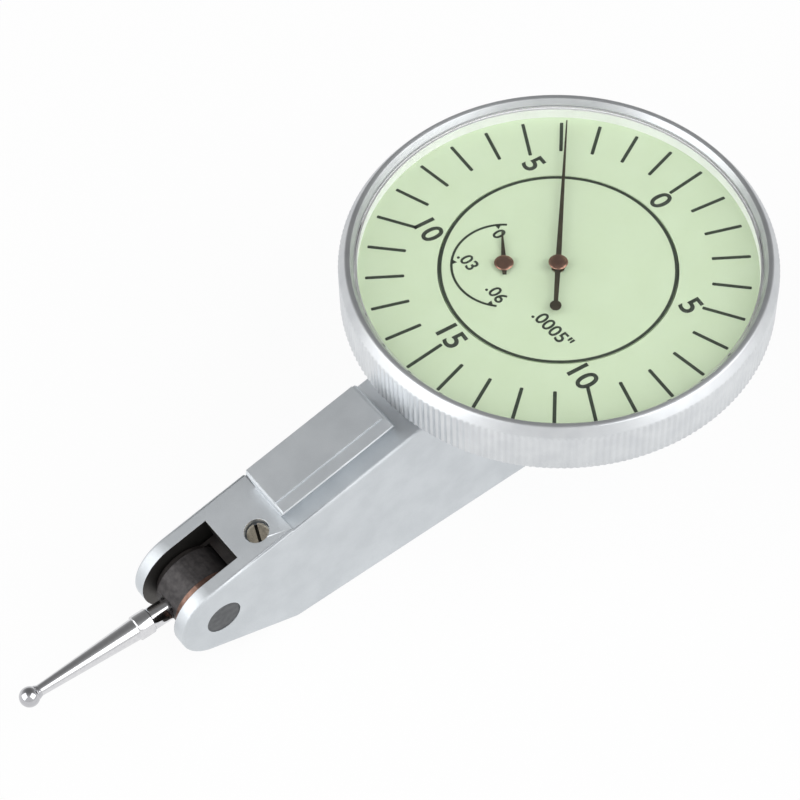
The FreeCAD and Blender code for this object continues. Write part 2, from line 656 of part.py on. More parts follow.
def spiral_edges(offset):
    """Half circles that grow from the collet outwards, shifted sideways by the offset."""
    step = SPRING_PITCH / 2
    start = COLLET_RADIUS + SHAFT_PLAY + SPRING_THICK / 2 + step
    edges = []
    for index in range(SPRING_HALF_TURNS):
        middle = vec(step if index % 2 else 0, 0, 0)
        radius = start + (index - 1) * step + offset
        sign = -1 if index % 2 else 1
        a = middle + vec(sign * radius, 0, 0)
        b = middle + vec(0, sign * radius, 0)
        c = middle + vec(-sign * radius, 0, 0)
        edges.append(Part.Arc(a, b, c).toShape())
    return edges


def hairspring():
    """Flat spiral strip from the collet to the stud."""
    inner = spiral_edges(-SPRING_THICK / 2)
    outer = spiral_edges(SPRING_THICK / 2)
    first = Part.makeLine(inner[0].Vertexes[0].Point, outer[0].Vertexes[0].Point)
    last = Part.makeLine(inner[-1].Vertexes[-1].Point, outer[-1].Vertexes[-1].Point)
    wire = Part.Wire(Part.__sortEdges__(inner + outer + [first, last]))
    strip = Part.Face(wire).extrude(vec(0, 0, SPRING_HEIGHT))
    strip.rotate(vec(0, 0, 0), vec(0, 0, 1), STUD_ANGLE)
    strip.translate(vec(0, 0, SPRING_BOTTOM))
    return strip


def dial_pillars():
    shapes = []
    for angle in PILLAR_ANGLES:
        at = polar(SCREW_CIRCLE, angle)
        shapes.append(rod(PILLAR_RADIUS, PLATE_TOP, DIAL_UNDER, at.x, at.y))
    return Part.makeCompound(shapes)


def dial_disc():
    """Fixed middle of the dial, with holes for the two pointer shafts."""
    hole = STAFF_RADIUS + HUB_BORE_PLAY
    disc = rod(DIAL_SPLIT - DIAL_GAP, DIAL_UNDER, DIAL_HEIGHT)
    holes = [rod(hole, DIAL_UNDER, DIAL_HEIGHT)]
    holes.append(rod(hole, DIAL_UNDER, DIAL_HEIGHT, COUNTER_X, COUNTER_Y))
    return disc.cut(holes)


def snap_ring():
    """Split wire ring that keeps the bezel down on the case."""
    inner = CASE_RADIUS - SNAP_GROOVE + SNAP_SEAT
    ring = turned(ring_section(inner, BEZEL_BORE + SNAP_BITE, SNAP_RING_HEIGHT / 2))
    half_gap = CASE_RADIUS * math.radians(SNAP_RING_GAP) / 2
    return ring.cut(block(0, BEZEL_RADIUS, -half_gap, half_gap, BEZEL_BOTTOM, BEZEL_TOP))


# --- bezel -----------------------------------------------------------------------------------

def bezel():
    """Gripping ring: bore for the case with a groove for the snap ring, and a bevelled rim."""
    flat = BEZEL_RIM_BORE + BEZEL_LIP
    ring = turned([
        (BEZEL_BORE, BEZEL_BOTTOM), (BEZEL_RADIUS, BEZEL_BOTTOM), (BEZEL_RADIUS, BEZEL_SHOULDER),
        (BEZEL_RADIUS - BEZEL_CHAMFER, BEZEL_TOP), (flat, BEZEL_TOP), (BEZEL_RIM_BORE, LIP_FOOT),
        (BEZEL_RIM_BORE, DIAL_UNDER), (BEZEL_BORE, DIAL_UNDER),
    ])
    half = SNAP_RING_HEIGHT / 2 + SNAP_PLAY
    outer = BEZEL_BORE + SNAP_BITE + SNAP_PLAY
    return ring.cut(turned(ring_section(BEZEL_BORE - PAST, outer, half)))


def crystal():
    return rod(BEZEL_RIM_BORE, CRYSTAL_UNDER, CRYSTAL_TOP)


def crystal_ring():
    inner = BEZEL_RIM_BORE - CRYSTAL_RING_WALL
    return turned([
        (inner, DIAL_HEIGHT), (BEZEL_RIM_BORE, DIAL_HEIGHT),
        (BEZEL_RIM_BORE, CRYSTAL_UNDER), (inner, CRYSTAL_UNDER),
    ])


def dial_ring():
    """Outer ring of the dial, which turns with the bezel."""
    return turned([
        (DIAL_SPLIT + DIAL_GAP, DIAL_UNDER), (BEZEL_RIM_BORE, DIAL_UNDER),
        (BEZEL_RIM_BORE, DIAL_HEIGHT), (DIAL_SPLIT + DIAL_GAP, DIAL_HEIGHT),
    ])


# --- lever -----------------------------------------------------------------------------------

def pivot_axle():
    """Axle through the yoke and the holder, with a thinner journal at each end."""
    axle = rod_across(AXLE_RADIUS, -YOKE_HALF, YOKE_HALF, PIVOT.x, PIVOT.z)
    reach = YOKE_HALF + JOURNAL_LENGTH
    return axle.fuse(rod_across(JOURNAL_RADIUS, -reach, reach, PIVOT.x, PIVOT.z)).removeSplitter()


def yoke_block_points(front, back):
    return [
        on_top(front, YOKE_TOP),
        on_top(back, YOKE_TOP),
        on_top(back, YOKE_TOP - YOKE_DEPTH),
        on_top(front, YOKE_TOP - YOKE_DEPTH),
    ]


def lever_yoke():
    """Fork whose two cheeks hold the axle, joined by a block behind the holder."""
    inner = YOKE_HALF - CHEEK
    body = slab(yoke_block_points(0, YOKE_BACK), -YOKE_HALF, YOKE_HALF)
    cheeks = rod_across(CHEEK_RADIUS, -YOKE_HALF, YOKE_HALF, PIVOT.x, PIVOT.z)
    cuts = [
        rod_across(HOLDER_CLEAR, -inner, inner, PIVOT.x, PIVOT.z),
        rod_across(AXLE_RADIUS, -YOKE_HALF, YOKE_HALF, PIVOT.x, PIVOT.z),
        slab(yoke_block_points(HOLDER_CLEAR + YOKE_SHOULDER, YOKE_BACK + PAST), ARM_IN, SLOT_HALF),
    ]
    return body.fuse(cheeks).cut(cuts + rivet_rods()).removeSplitter()


def arm_angle():
    """Direction of the middle of the toothed sector, seen from the pivot."""
    return first_tooth() + SECTOR_PITCH * (SECTOR_TEETH - 1) / 2


def first_tooth():
    """Lowest tooth of the sector: at rest the contact lies in a gap near this end."""
    return ARBOR_ANGLE - REST_TEETH * SECTOR_PITCH


def arm_point(back, rise):
    """Point along the arm from the pivot, and square to the arm."""
    angle = arm_angle()
    along = vec(math.cos(angle), 0, math.sin(angle))
    up = vec(-math.sin(angle), 0, math.cos(angle))
    return PIVOT + along * back + up * rise


def rivet_rods():
    """Rivets that hold the arm to the yoke and the toothed sector to the arm."""
    rods = []
    for end, step in ((YOKE_BACK, -1), (SECTOR_FOOT, 1)):
        for distance in (RIVET_EDGE, RIVET_EDGE + RIVET_STEP):
            at = arm_point(end + step * distance, 0)
            rods.append(rod_across(RIVET_RADIUS, SECTOR_IN, ARM_OUT, at.x, at.z))
    return rods


def lever_arm():
    """Long flat strip from the yoke to the toothed sector, tapered towards the gear."""
    front = HOLDER_CLEAR + YOKE_SHOULDER + ARM_START_GAP
    end = SECTOR_FOOT + ARM_OVERLAP
    points = [
        arm_point(front, ARM_ROOT / 2),
        arm_point(end, ARM_END / 2),
        arm_point(end, -ARM_END / 2),
        arm_point(front, -ARM_ROOT / 2),
    ]
    return slab(points, ARM_IN, ARM_OUT).cut(rivet_rods())


def sector_gear():
    """Toothed end of the lever, a slice of a large wheel round the pivot."""
    points = []
    for index in range(SECTOR_TEETH):
        for r, a in tooth(SECTOR_RADIUS, SECTOR_MODULE, SECTOR_PITCH):
            points.append(from_pivot(r, first_tooth() + index * SECTOR_PITCH + a))
    half_foot = SECTOR_PITCH * SECTOR_TEETH / 2 * SECTOR_TAPER
    points.append(from_pivot(SECTOR_FOOT, arm_angle() + half_foot))
    points.append(from_pivot(SECTOR_FOOT, arm_angle() - half_foot))
    return slab(points, SECTOR_IN, ARM_IN).cut(rivet_rods())


def washer(radius, start, end):
    disc = rod_across(radius, start, end, PIVOT.x, PIVOT.z)
    return disc.cut(rod_across(AXLE_RADIUS, start, end, PIVOT.x, PIVOT.z))


# --- stylus ----------------------------------------------------------------------------------

def rod_forward(radius, start, end):
    """Cylinder in front of the pivot, along -X, from the start to the end distance."""
    return Part.makeCylinder(radius, end - start, PIVOT + vec(-start, 0, 0), vec(-1, 0, 0))


def stylus_holder():
    """Drum on the axle, with a seat and a threaded hole for the stylus."""
    start = NEAR_WASHER_IN + FRICTION_GAP
    end = FAR_WASHER_IN - FRICTION_GAP
    drum = rod_across(HOLDER_RADIUS, start, end, PIVOT.x, PIVOT.z)
    cuts = [
        rod_across(AXLE_RADIUS + SHAFT_PLAY, start, end, PIVOT.x, PIVOT.z),
        rod_forward(SHANK_DIAMETER / 2, STYLUS_SEAT, HOLDER_RADIUS + PAST),
        rod_forward(SPIGOT_DIAMETER / 2, STYLUS_SEAT - SPIGOT_LENGTH, STYLUS_SEAT),
    ]
    return drum.cut(cuts)


def contact_ball():
    return Part.makeSphere(BALL_DIAMETER / 2, PIVOT + vec(-STYLUS_LENGTH, 0, 0))


def stylus():
    """Threaded spigot, shank, collar with two spanner flats, and a long cone down to the ball."""
    collar_front = COLLAR_BACK + COLLAR_LENGTH
    cone = Part.makeCone(
        SHANK_DIAMETER / 2, TIP_DIAMETER / 2, STYLUS_LENGTH - collar_front,
        PIVOT + vec(-collar_front, 0, 0), vec(-1, 0, 0))
    shank = rod_forward(SHANK_DIAMETER / 2, STYLUS_SEAT, COLLAR_BACK)
    spigot = rod_forward(SPIGOT_DIAMETER / 2, STYLUS_SEAT - SPIGOT_LENGTH, STYLUS_SEAT)
    collar = rod_forward(COLLAR_DIAMETER / 2, COLLAR_BACK, collar_front)
    for side in (-1, 1):
        near = PIVOT.x - collar_front
        y0 = side * FLAT_WIDTH / 2
        y1 = side * COLLAR_DIAMETER
        low = PIVOT.z - COLLAR_DIAMETER
        high = PIVOT.z + COLLAR_DIAMETER
        collar = collar.cut(block(near, near + COLLAR_LENGTH, min(y0, y1), max(y0, y1), low, high))
    return spigot.fuse([shank, collar, cone]).removeSplitter().cut(contact_ball())


# --- gear train ------------------------------------------------------------------------------

def contrate_arbor():
    """Shaft across the slot with a pinion that the sector drives."""
    shaft = rod_across(ARBOR_RADIUS, -SLOT_HALF + SIDE_PLAY, SLOT_HALF - SIDE_PLAY, 0, ARBOR_HEIGHT)
    journal = SLOT_HALF + ARBOR_JOURNAL_LENGTH
    ends = rod_across(ARBOR_JOURNAL_RADIUS, -journal, journal, 0, ARBOR_HEIGHT)
    facing = math.pi - ARBOR_ANGLE
    pinion = gear_face(PINION_TEETH, ARBOR_PINION_RADIUS, SECTOR_MODULE, facing)
    pinion = pinion.extrude(vec(0, 0, ARBOR_PINION_LENGTH))
    pinion.rotate(vec(0, 0, 0), vec(1, 0, 0), -90)
    start = (SECTOR_IN + ARM_IN - ARBOR_PINION_LENGTH) / 2
    pinion.translate(vec(0, start, ARBOR_HEIGHT))
    return shaft.fuse([ends, pinion]).removeSplitter()


def contrate_wheel():
    """Crown wheel: a disc with upright teeth round its near face."""
    outer = CONTRATE_RADIUS + CONTRATE_FACE / 2
    inner = CONTRATE_RADIUS - CONTRATE_FACE / 2
    cuts = [rod(ARBOR_RADIUS, 0, CONTRATE_THICK)]
    for index in range(WHEEL_WINDOWS):
        at = polar((inner + ARBOR_RADIUS) / 2, index * 360 / WHEEL_WINDOWS)
        cuts.append(rod((inner - ARBOR_RADIUS) * WINDOW_SHARE, 0, CONTRATE_THICK, at.x, at.y))
    disc = rod(outer, 0, CONTRATE_THICK).cut(cuts)
    pitch = 2 * math.pi / CONTRATE_TEETH
    half = pitch * CROWN_SHARE / 2
    teeth = []
    for index in range(CONTRATE_TEETH):
        middle = (index + 0.5) * pitch
        points = []
        for r, a in ((inner, -half), (outer, -half), (outer, half), (inner, half)):
            points.append(polar(r, math.degrees(middle + a), CONTRATE_THICK))
        points.append(points[0])
        face = Part.Face(Part.makePolygon(points))
        teeth.append(face.extrude(vec(0, 0, CROWN_TIP - CROWN_ROOT)))
    wheel = disc.fuse(teeth)
    wheel.rotate(vec(0, 0, 0), vec(0, 0, 1), 90)
    wheel.rotate(vec(0, 0, 0), vec(1, 0, 0), -90)
    wheel.translate(vec(0, CROWN_ROOT - CONTRATE_THICK, ARBOR_HEIGHT))
    return wheel


def centre_staff():
    """Upright shaft of the main pointer, with the pinion that the contrate wheel drives."""
    start = FOOT_TOP + STAFF_SHAKE
    pivot = rod(STAFF_PIVOT_RADIUS, start - STAFF_PIVOT_LENGTH, start)
    shaft = rod(STAFF_RADIUS, start, MAIN_UNDER + POINTER_THICK)
    bottom = STAFF_PINION_BOTTOM
    top = bottom + 2 * STAFF_PINION_HALF
    pinion = spur(PINION_TEETH, STAFF_PINION_RADIUS, CONTRATE_MODULE, -math.pi / 2, bottom, top)
    return shaft.fuse([pivot, pinion]).removeSplitter()


def counter_pinion():
    bottom = COUNTER_WHEEL_BOTTOM - COUNTER_PINION_MARGIN
    top = COUNTER_WHEEL_BOTTOM + COUNTER_WHEEL_THICK + COUNTER_PINION_MARGIN
    phase = math.radians(COUNTER_BEARING)
    gear = spur(COUNTER_PINION_TEETH, COUNTER_PINION_RADIUS, COUNTER_MODULE, phase, bottom, top)
    return gear.cut(rod(STAFF_RADIUS, bottom, top))


def hairspring_collet():
    top = COLLET_BOTTOM + COLLET_HEIGHT
    return rod(COLLET_RADIUS, COLLET_BOTTOM, top).cut(rod(STAFF_RADIUS, COLLET_BOTTOM, top))


def counter_arbor():
    """Shaft of the small pointer, carried by the plate."""
    top = COUNTER_UNDER + POINTER_THICK
    return rod(STAFF_RADIUS, FLOOR_TOP + STAFF_SHAKE / 2, top, COUNTER_X, COUNTER_Y)


def counter_wheel():
    bottom = COUNTER_WHEEL_BOTTOM
    top = bottom + COUNTER_WHEEL_THICK
    facing = math.radians(COUNTER_BEARING) + math.pi + math.pi / COUNTER_WHEEL_TEETH
    gear = spur(
        COUNTER_WHEEL_TEETH, COUNTER_WHEEL_RADIUS, COUNTER_MODULE, facing, bottom, top,
        COUNTER_X, COUNTER_Y)
    return gear.cut(rod(STAFF_RADIUS, bottom, top, COUNTER_X, COUNTER_Y))


# --- pointers --------------------------------------------------------------------------------

def needle(reach, tail, extra):
    """Flat tapered needle along X with a short tail, round a hole for its shaft."""
    root = POINTER_ROOT / 2
    tip = POINTER_TIP / 2
    end = root * TAIL_SHARE
    outline = [
        vec(-tail, -end, 0), vec(0, -root, 0), vec(reach, -tip, 0),
        vec(reach, tip, 0), vec(0, root, 0), vec(-tail, end, 0),
    ]
    blade = Part.Face(Part.makePolygon(outline + outline[:1])).extrude(vec(0, 0, POINTER_THICK))
    boss = rod(HUB_RADIUS * BOSS_SHARE, 0, POINTER_THICK)
    return blade.fuse([boss] + extra).removeSplitter().cut(rod(STAFF_RADIUS, 0, POINTER_THICK))


def set_pointer(shape, degrees, place):
    """Turns a needle to its direction and sets it on its shaft."""
    shape.rotate(vec(0, 0, 0), vec(0, 0, 1), degrees)
    shape.translate(place)
    return shape


def main_pointer():
    """Long pointer with a round counterweight on its tail."""
    weight = rod(WEIGHT_RADIUS, 0, POINTER_THICK, WEIGHT_RADIUS - MAIN_TAIL)
    return set_pointer(needle(MAIN_REACH, MAIN_TAIL, [weight]), MAIN_REST, vec(0, 0, MAIN_UNDER))


def counter_pointer():
    """Short pointer that counts the turns."""
    place = vec(COUNTER_X, COUNTER_Y, COUNTER_UNDER)
    return set_pointer(needle(COUNTER_REACH, COUNTER_TAIL, []), COUNTER_REST, place)


def pointer_cap(x, y, bottom):
    """Low domed cap over the end of a pointer's shaft."""
    sphere_radius = (HUB_RADIUS ** 2 + HUB_RISE ** 2) / (2 * HUB_RISE)
    ball = Part.makeSphere(sphere_radius, vec(x, y, bottom + HUB_RISE - sphere_radius))
    return ball.common(rod(HUB_RADIUS, bottom, bottom + HUB_RISE + PAST, x, y))


write("housing", housing())
write("pivot_plug_near", pivot_plug(-1))
write("pivot_plug_far", pivot_plug(1))
write("arbor_bush_near", arbor_bush(-1))
write("arbor_bush_far", arbor_bush(1))
write("lever_stop_screw", lever_stop_screw())
write("movement_plate", movement_plate())
write("plate_screws", plate_screws())
write("staff_bracket", staff_bracket())
write("bracket_screws", bracket_screws())
write("staff_jewel_lower", jewel(STAFF_PIVOT_RADIUS, BRACKET_BOTTOM, FOOT_TOP))
write("staff_jewel_upper", jewel(STAFF_RADIUS, FLOOR_TOP, PLATE_TOP))
write("counter_jewel", jewel(STAFF_RADIUS, FLOOR_TOP, PLATE_TOP, COUNTER_X, COUNTER_Y))
write("hairspring_stud", hairspring_stud())
write("hairspring", hairspring())
write("dial_pillars", dial_pillars())
write("dial_disc", dial_disc())
write("bezel_snap_ring", snap_ring())

write("bezel", bezel())
write("crystal", crystal())
write("crystal_ring", crystal_ring())
write("dial_ring", dial_ring())

write("pivot_axle", pivot_axle())
write("lever_yoke", lever_yoke())
write("lever_arm", lever_arm())
write("sector_gear", sector_gear())
write("lever_rivets", Part.makeCompound(rivet_rods()))
write("friction_washer", washer(FRICTION_WASHER_RADIUS, NEAR_WASHER_OUT, NEAR_WASHER_IN))
write("thrust_washer", washer(THRUST_WASHER_RADIUS, FAR_WASHER_IN, FAR_WASHER_OUT))

write("stylus_holder", stylus_holder())
write("stylus", stylus())
write("contact_ball", contact_ball())

write("contrate_arbor", contrate_arbor())
write("contrate_wheel", contrate_wheel())

write("centre_staff", centre_staff())
write("counter_pinion", counter_pinion())
write("hairspring_collet", hairspring_collet())
write("main_pointer", main_pointer())
write("main_pointer_cap", pointer_cap(0, 0, MAIN_UNDER + POINTER_THICK))

write("counter_arbor", counter_arbor())
write("counter_wheel", counter_wheel())
write("counter_pointer", counter_pointer())
write("counter_pointer_cap", pointer_cap(COUNTER_X, COUNTER_Y, COUNTER_UNDER + POINTER_THICK))
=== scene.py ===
import bpy
import json
import math
from mathutils import Matrix, Vector

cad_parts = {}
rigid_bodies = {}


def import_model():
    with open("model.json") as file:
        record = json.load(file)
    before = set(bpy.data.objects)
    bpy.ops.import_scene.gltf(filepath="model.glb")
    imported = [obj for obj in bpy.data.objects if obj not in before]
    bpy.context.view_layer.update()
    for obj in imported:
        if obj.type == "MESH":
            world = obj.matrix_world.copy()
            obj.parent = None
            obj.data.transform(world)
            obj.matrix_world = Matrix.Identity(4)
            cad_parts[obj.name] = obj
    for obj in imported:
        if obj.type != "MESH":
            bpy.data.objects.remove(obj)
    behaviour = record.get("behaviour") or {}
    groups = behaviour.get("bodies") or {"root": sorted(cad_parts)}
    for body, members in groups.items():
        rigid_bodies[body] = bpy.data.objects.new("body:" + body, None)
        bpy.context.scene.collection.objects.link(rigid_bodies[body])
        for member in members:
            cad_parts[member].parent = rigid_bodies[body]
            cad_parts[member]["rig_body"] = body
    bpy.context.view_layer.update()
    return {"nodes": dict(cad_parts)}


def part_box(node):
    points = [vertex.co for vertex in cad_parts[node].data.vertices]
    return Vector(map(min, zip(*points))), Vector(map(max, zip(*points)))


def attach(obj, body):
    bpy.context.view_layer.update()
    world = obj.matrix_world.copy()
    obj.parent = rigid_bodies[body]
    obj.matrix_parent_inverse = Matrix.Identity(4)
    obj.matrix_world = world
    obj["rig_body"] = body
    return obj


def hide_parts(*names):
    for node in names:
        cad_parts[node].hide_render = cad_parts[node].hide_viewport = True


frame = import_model()
MM = 0.001

# --- Housing -------------------------------------------------------------------------------------
# One block of hardened steel: ground bar, open nose slot, dovetails and the round case for the dial.
# Blasted to a fine satin and chromed, so flat faces look soft and every edge carries a thin bright line.


def node_material(name, colour, metallic, roughness):
    """A new node material, with its tree, its shader and the piece's own coordinates."""
    material = bpy.data.materials.new(name)
    material.use_nodes = True
    tree = material.node_tree
    shader = tree.nodes["Principled BSDF"]
    shader.inputs["Base Color"].default_value = (*colour, 1)
    shader.inputs["Metallic"].default_value = metallic
    shader.inputs["Roughness"].default_value = roughness
    place = tree.nodes.new("ShaderNodeTexCoord").outputs["Object"]
    return material, tree, shader, place


def noise(tree, place, size, detail):
    """Cloudy pattern whose spots are about that size, in metres."""
    texture = tree.nodes.new("ShaderNodeTexNoise")
    texture.inputs["Scale"].default_value = 1 / size
    texture.inputs["Detail"].default_value = detail
    tree.links.new(place, texture.inputs["Vector"])
    return texture.outputs["Fac"]


def spread(tree, value, low, high, to_low, to_high):
    """Stretches part of a pattern's range over the range that a socket needs."""
    remap = tree.nodes.new("ShaderNodeMapRange")
    tree.links.new(value, remap.inputs["Value"])
    remap.inputs["From Min"].default_value = low
    remap.inputs["From Max"].default_value = high
    remap.inputs["To Min"].default_value = to_low
    remap.inputs["To Max"].default_value = to_high
    return remap.outputs["Result"]


def blend_colours(tree, amount, first, second):
    """Colour between two colours, by a pattern from 0 to 1."""
    mix = tree.nodes.new("ShaderNodeMixRGB")
    mix.inputs["Color1"].default_value = (*first, 1)
    mix.inputs["Color2"].default_value = (*second, 1)
    tree.links.new(amount, mix.inputs["Fac"])
    return mix.outputs["Color"]


def relief(tree, shader, height, depth, under=None):
    """Bumps of that depth in metres, on top of another normal where one is given."""
    bump = tree.nodes.new("ShaderNodeBump")
    bump.inputs["Strength"].default_value = 1
    bump.inputs["Distance"].default_value = depth
    tree.links.new(height, bump.inputs["Height"])
    if under:
        tree.links.new(under, bump.inputs["Normal"])
    tree.links.new(bump.outputs["Normal"], shader.inputs["Normal"])
    return bump.outputs["Normal"]


def soft_edges(tree, radius):
    """Normal that rounds every edge by that radius, in metres."""
    bevel = tree.nodes.new("ShaderNodeBevel")
    bevel.samples = 6
    bevel.inputs["Radius"].default_value = radius
    return bevel.outputs["Normal"]


def below(tree, value, limit):
    """1 where a value lies below a limit, 0 elsewhere."""
    test = tree.nodes.new("ShaderNodeMath")
    test.operation = "LESS_THAN"
    test.inputs[1].default_value = limit
    tree.links.new(value, test.inputs[0])
    return test.outputs["Value"]


def inside_slot(tree, place):
    """1 on the walls of the open slot in the nose, where the housing's painted shade goes, 0 elsewhere."""
    axle_low, axle_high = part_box("pivot_axle")
    axle = (axle_low + axle_high) / 2
    from_axle = tree.nodes.new("ShaderNodeVectorMath")
    from_axle.operation = "SUBTRACT"
    from_axle.inputs[1].default_value = axle
    tree.links.new(place, from_axle.inputs[0])
    along = tree.nodes.new("ShaderNodeVectorMath")
    along.operation = "DOT_PRODUCT"
    along.inputs[1].default_value = (math.cos(TOP_TILT), 0, math.sin(TOP_TILT))
    tree.links.new(from_axle.outputs["Vector"], along.inputs[0])
    split = tree.nodes.new("ShaderNodeSeparateXYZ")
    tree.links.new(place, split.inputs["Vector"])
    off_middle = tree.nodes.new("ShaderNodeMath")
    off_middle.operation = "ABSOLUTE"
    tree.links.new(split.outputs["Y"], off_middle.inputs[0])
    both = tree.nodes.new("ShaderNodeMath")
    both.operation = "MULTIPLY"
    tree.links.new(below(tree, along.outputs["Value"], SLOT_BACK + 0.02 * MM), both.inputs[0])
    tree.links.new(below(tree, off_middle.outputs["Value"], SLOT_HALF + 0.01 * MM), both.inputs[1])
    return both.outputs["Value"]


def satin_chrome(name, dark, light, smooth, rough, slot_shade):
    """Blasted and chromed steel: faint clouds in tone and gloss, fine grain, softly broken edges, and painted shade
    on the walls of the nose's slot.
    """
    material, tree, shader, place = node_material(name, light, 1, rough)
    cloud = noise(tree, place, 2.6 * MM, 3)
    grain = noise(tree, place, 0.11 * MM, 2)
    tone = spread(tree, cloud, 0.35, 0.65, 0, 1)
    plated = blend_colours(tree, tone, dark, light)
    # Painted shade: the walls of the nose's slot take the last, near-black colour instead of the plated tone.
    shaded = blend_colours(tree, inside_slot(tree, place), dark, slot_shade)
    tree.links.new(plated, shaded.node.inputs["Color1"])
    tree.links.new(shaded, shader.inputs["Base Color"])
    tree.links.new(spread(tree, grain, 0.3, 0.7, smooth, rough), shader.inputs["Roughness"])
    relief(tree, shader, grain, 0.006 * MM, soft_edges(tree, 0.07 * MM))
    return material


def keep_flat(mesh, least):
    """Shades as flat every face of a plane that has at least that area, so its round edges stay apart."""
    planes = {}
    for face in mesh.polygons:
        normal = face.normal
        plane = (round(normal.x, 3), round(normal.y, 3), round(normal.z, 3),
                 round(normal.dot(face.center) / (0.005 * MM)))
        planes.setdefault(plane, []).append(face)
    for faces in planes.values():
        if sum(face.area for face in faces) > least:
            for face in faces:
                face.use_smooth = False


def skin(node, name, material, crease=32, flat_area=None):
    """Stands for a machined node of the frame: its faces joined and shaded round up to the crease."""
    bpy.ops.object.select_all(action="DESELECT")
    original = frame["nodes"][node]
    piece = bpy.data.objects.new(name, original.data.copy())
    bpy.context.scene.collection.objects.link(piece)
    bpy.context.view_layer.objects.active = piece
    piece.select_set(True)
    bpy.ops.object.mode_set(mode="EDIT")
    bpy.ops.mesh.select_all(action="SELECT")
    bpy.ops.mesh.remove_doubles(threshold=0.0001 * MM)
    bpy.ops.mesh.dissolve_degenerate(threshold=0.002 * MM)
    bpy.ops.object.mode_set(mode="OBJECT")
    bpy.ops.object.shade_smooth_by_angle(angle=math.radians(crease))
    if flat_area:
        keep_flat(piece.data, flat_area)
    even = piece.modifiers.new("even", "WEIGHTED_NORMAL")
    even.keep_sharp = True
    bpy.ops.object.modifier_apply(modifier=even.name)
    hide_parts(node)
    return finished(piece, material, original["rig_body"])


def finished(piece, material, body):
    """Gives a piece its finish and sets it on its body."""
    piece.data.materials.clear()
    piece.data.materials.append(material)
    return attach(piece, body)


def coat(node, material):
    """Gives a node of the frame its finish, with its shape as it is."""
    piece = frame["nodes"][node]
    piece.data.materials.clear()
    piece.data.materials.append(material)
    return piece


TOP_TILT = math.radians(12.2)
SLOT_BACK = 3.77 * MM
SLOT_HALF = 2.35 * MM
# The last colour is painted shade for the walls of the nose's slot.
body_chrome = satin_chrome(
    "body_chrome", (0.61, 0.64, 0.665), (0.66, 0.69, 0.715), 0.46, 0.56, (0.10, 0.095, 0.09))
skin("housing", "housing_block", body_chrome, 33, 2.5 * MM * MM)

# --- Bearing plugs and bushes --------------------------------------------------------------------
# Blued steel plugs pressed into the two ears, which carry the lever's axle, and chromed bushes
# for the cross arbor. Their flat ends are faced on a lathe and left matt.


def rings(tree, place, centre, turn, pitch):
    """Fine concentric tool marks round an axis: the axis goes through the centre, turned to face Z."""
    mapping = tree.nodes.new("ShaderNodeMapping")
    mapping.vector_type = "TEXTURE"
    mapping.inputs["Location"].default_value = centre
    mapping.inputs["Rotation"].default_value = turn
    tree.links.new(place, mapping.inputs["Vector"])
    wave = tree.nodes.new("ShaderNodeTexWave")
    wave.wave_type = "RINGS"
    wave.rings_direction = "Z"
    wave.inputs["Scale"].default_value = 0.314 / pitch
    wave.inputs["Distortion"].default_value = 1.2
    wave.inputs["Detail"].default_value = 2
    wave.inputs["Detail Scale"].default_value = 3
    tree.links.new(mapping.outputs["Vector"], wave.inputs["Vector"])
    return wave.outputs["Fac"]


def turned_metal(name, colour, worn, smooth, rough, centre, turn, pitch, depth):
    """Lathe-turned metal: tool marks round its axis, with the tone and gloss changing across them."""
    material, tree, shader, place = node_material(name, colour, 1, rough)
    marks = rings(tree, place, centre, turn, pitch)
    cloud = noise(tree, place, 0.5 * MM, 3)
    tone = spread(tree, cloud, 0.35, 0.65, 0, 1)
    tree.links.new(blend_colours(tree, tone, colour, worn), shader.inputs["Base Color"])
    tree.links.new(spread(tree, marks, 0, 1, smooth, rough), shader.inputs["Roughness"])
    relief(tree, shader, marks, depth, soft_edges(tree, 0.03 * MM))
    return material


ALONG_Y = (math.radians(90), 0, 0)
plug_low, plug_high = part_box("pivot_plug_near")
pivot = (plug_low + plug_high) / 2
plug_steel = turned_metal(
    "plug_steel", (0.13, 0.135, 0.14), (0.17, 0.175, 0.18), 0.5, 0.62, pivot, ALONG_Y, 0.12 * MM, 0.002 * MM)
skin("pivot_plug_near", "bearing_plug_near", plug_steel)
skin("pivot_plug_far", "bearing_plug_far", plug_steel)

bush_low, bush_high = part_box("arbor_bush_near")
bush_steel = turned_metal(
    "bush_steel", (0.56, 0.57, 0.59), (0.62, 0.63, 0.65), 0.28, 0.4, (bush_low + bush_high) / 2, ALONG_Y,
    0.1 * MM, 0.002 * MM)
for side in ("near", "far"):
    skin(f"arbor_bush_{side}", f"cross_bush_{side}", bush_steel)

# --- Stop screw ----------------------------------------------------------------------------------
# Slotted cheese-head screw sunk in a flat-bottomed recess in the top of the nose.
# Turned from steel, with a straw-coloured temper tint and burrs at its slot. Below the head's top face it is
# painted near black, as painted shade in the slot and the recess.


def scratched_steel(name, colour, tint, smooth, rough, size, depth):
    """Turned or drawn steel with faint scratches, clouded tone and softly broken edges."""
    material, tree, shader, place = node_material(name, colour, 1, rough)
    cloud = noise(tree, place, 4 * size, 3)
    scratches = noise(tree, place, size, 4)
    tone = spread(tree, cloud, 0.35, 0.65, 0, 1)
    tree.links.new(blend_colours(tree, tone, colour, tint), shader.inputs["Base Color"])
    tree.links.new(spread(tree, scratches, 0.3, 0.7, smooth, rough), shader.inputs["Roughness"])
    relief(tree, shader, scratches, depth, soft_edges(tree, 0.03 * MM))
    return material


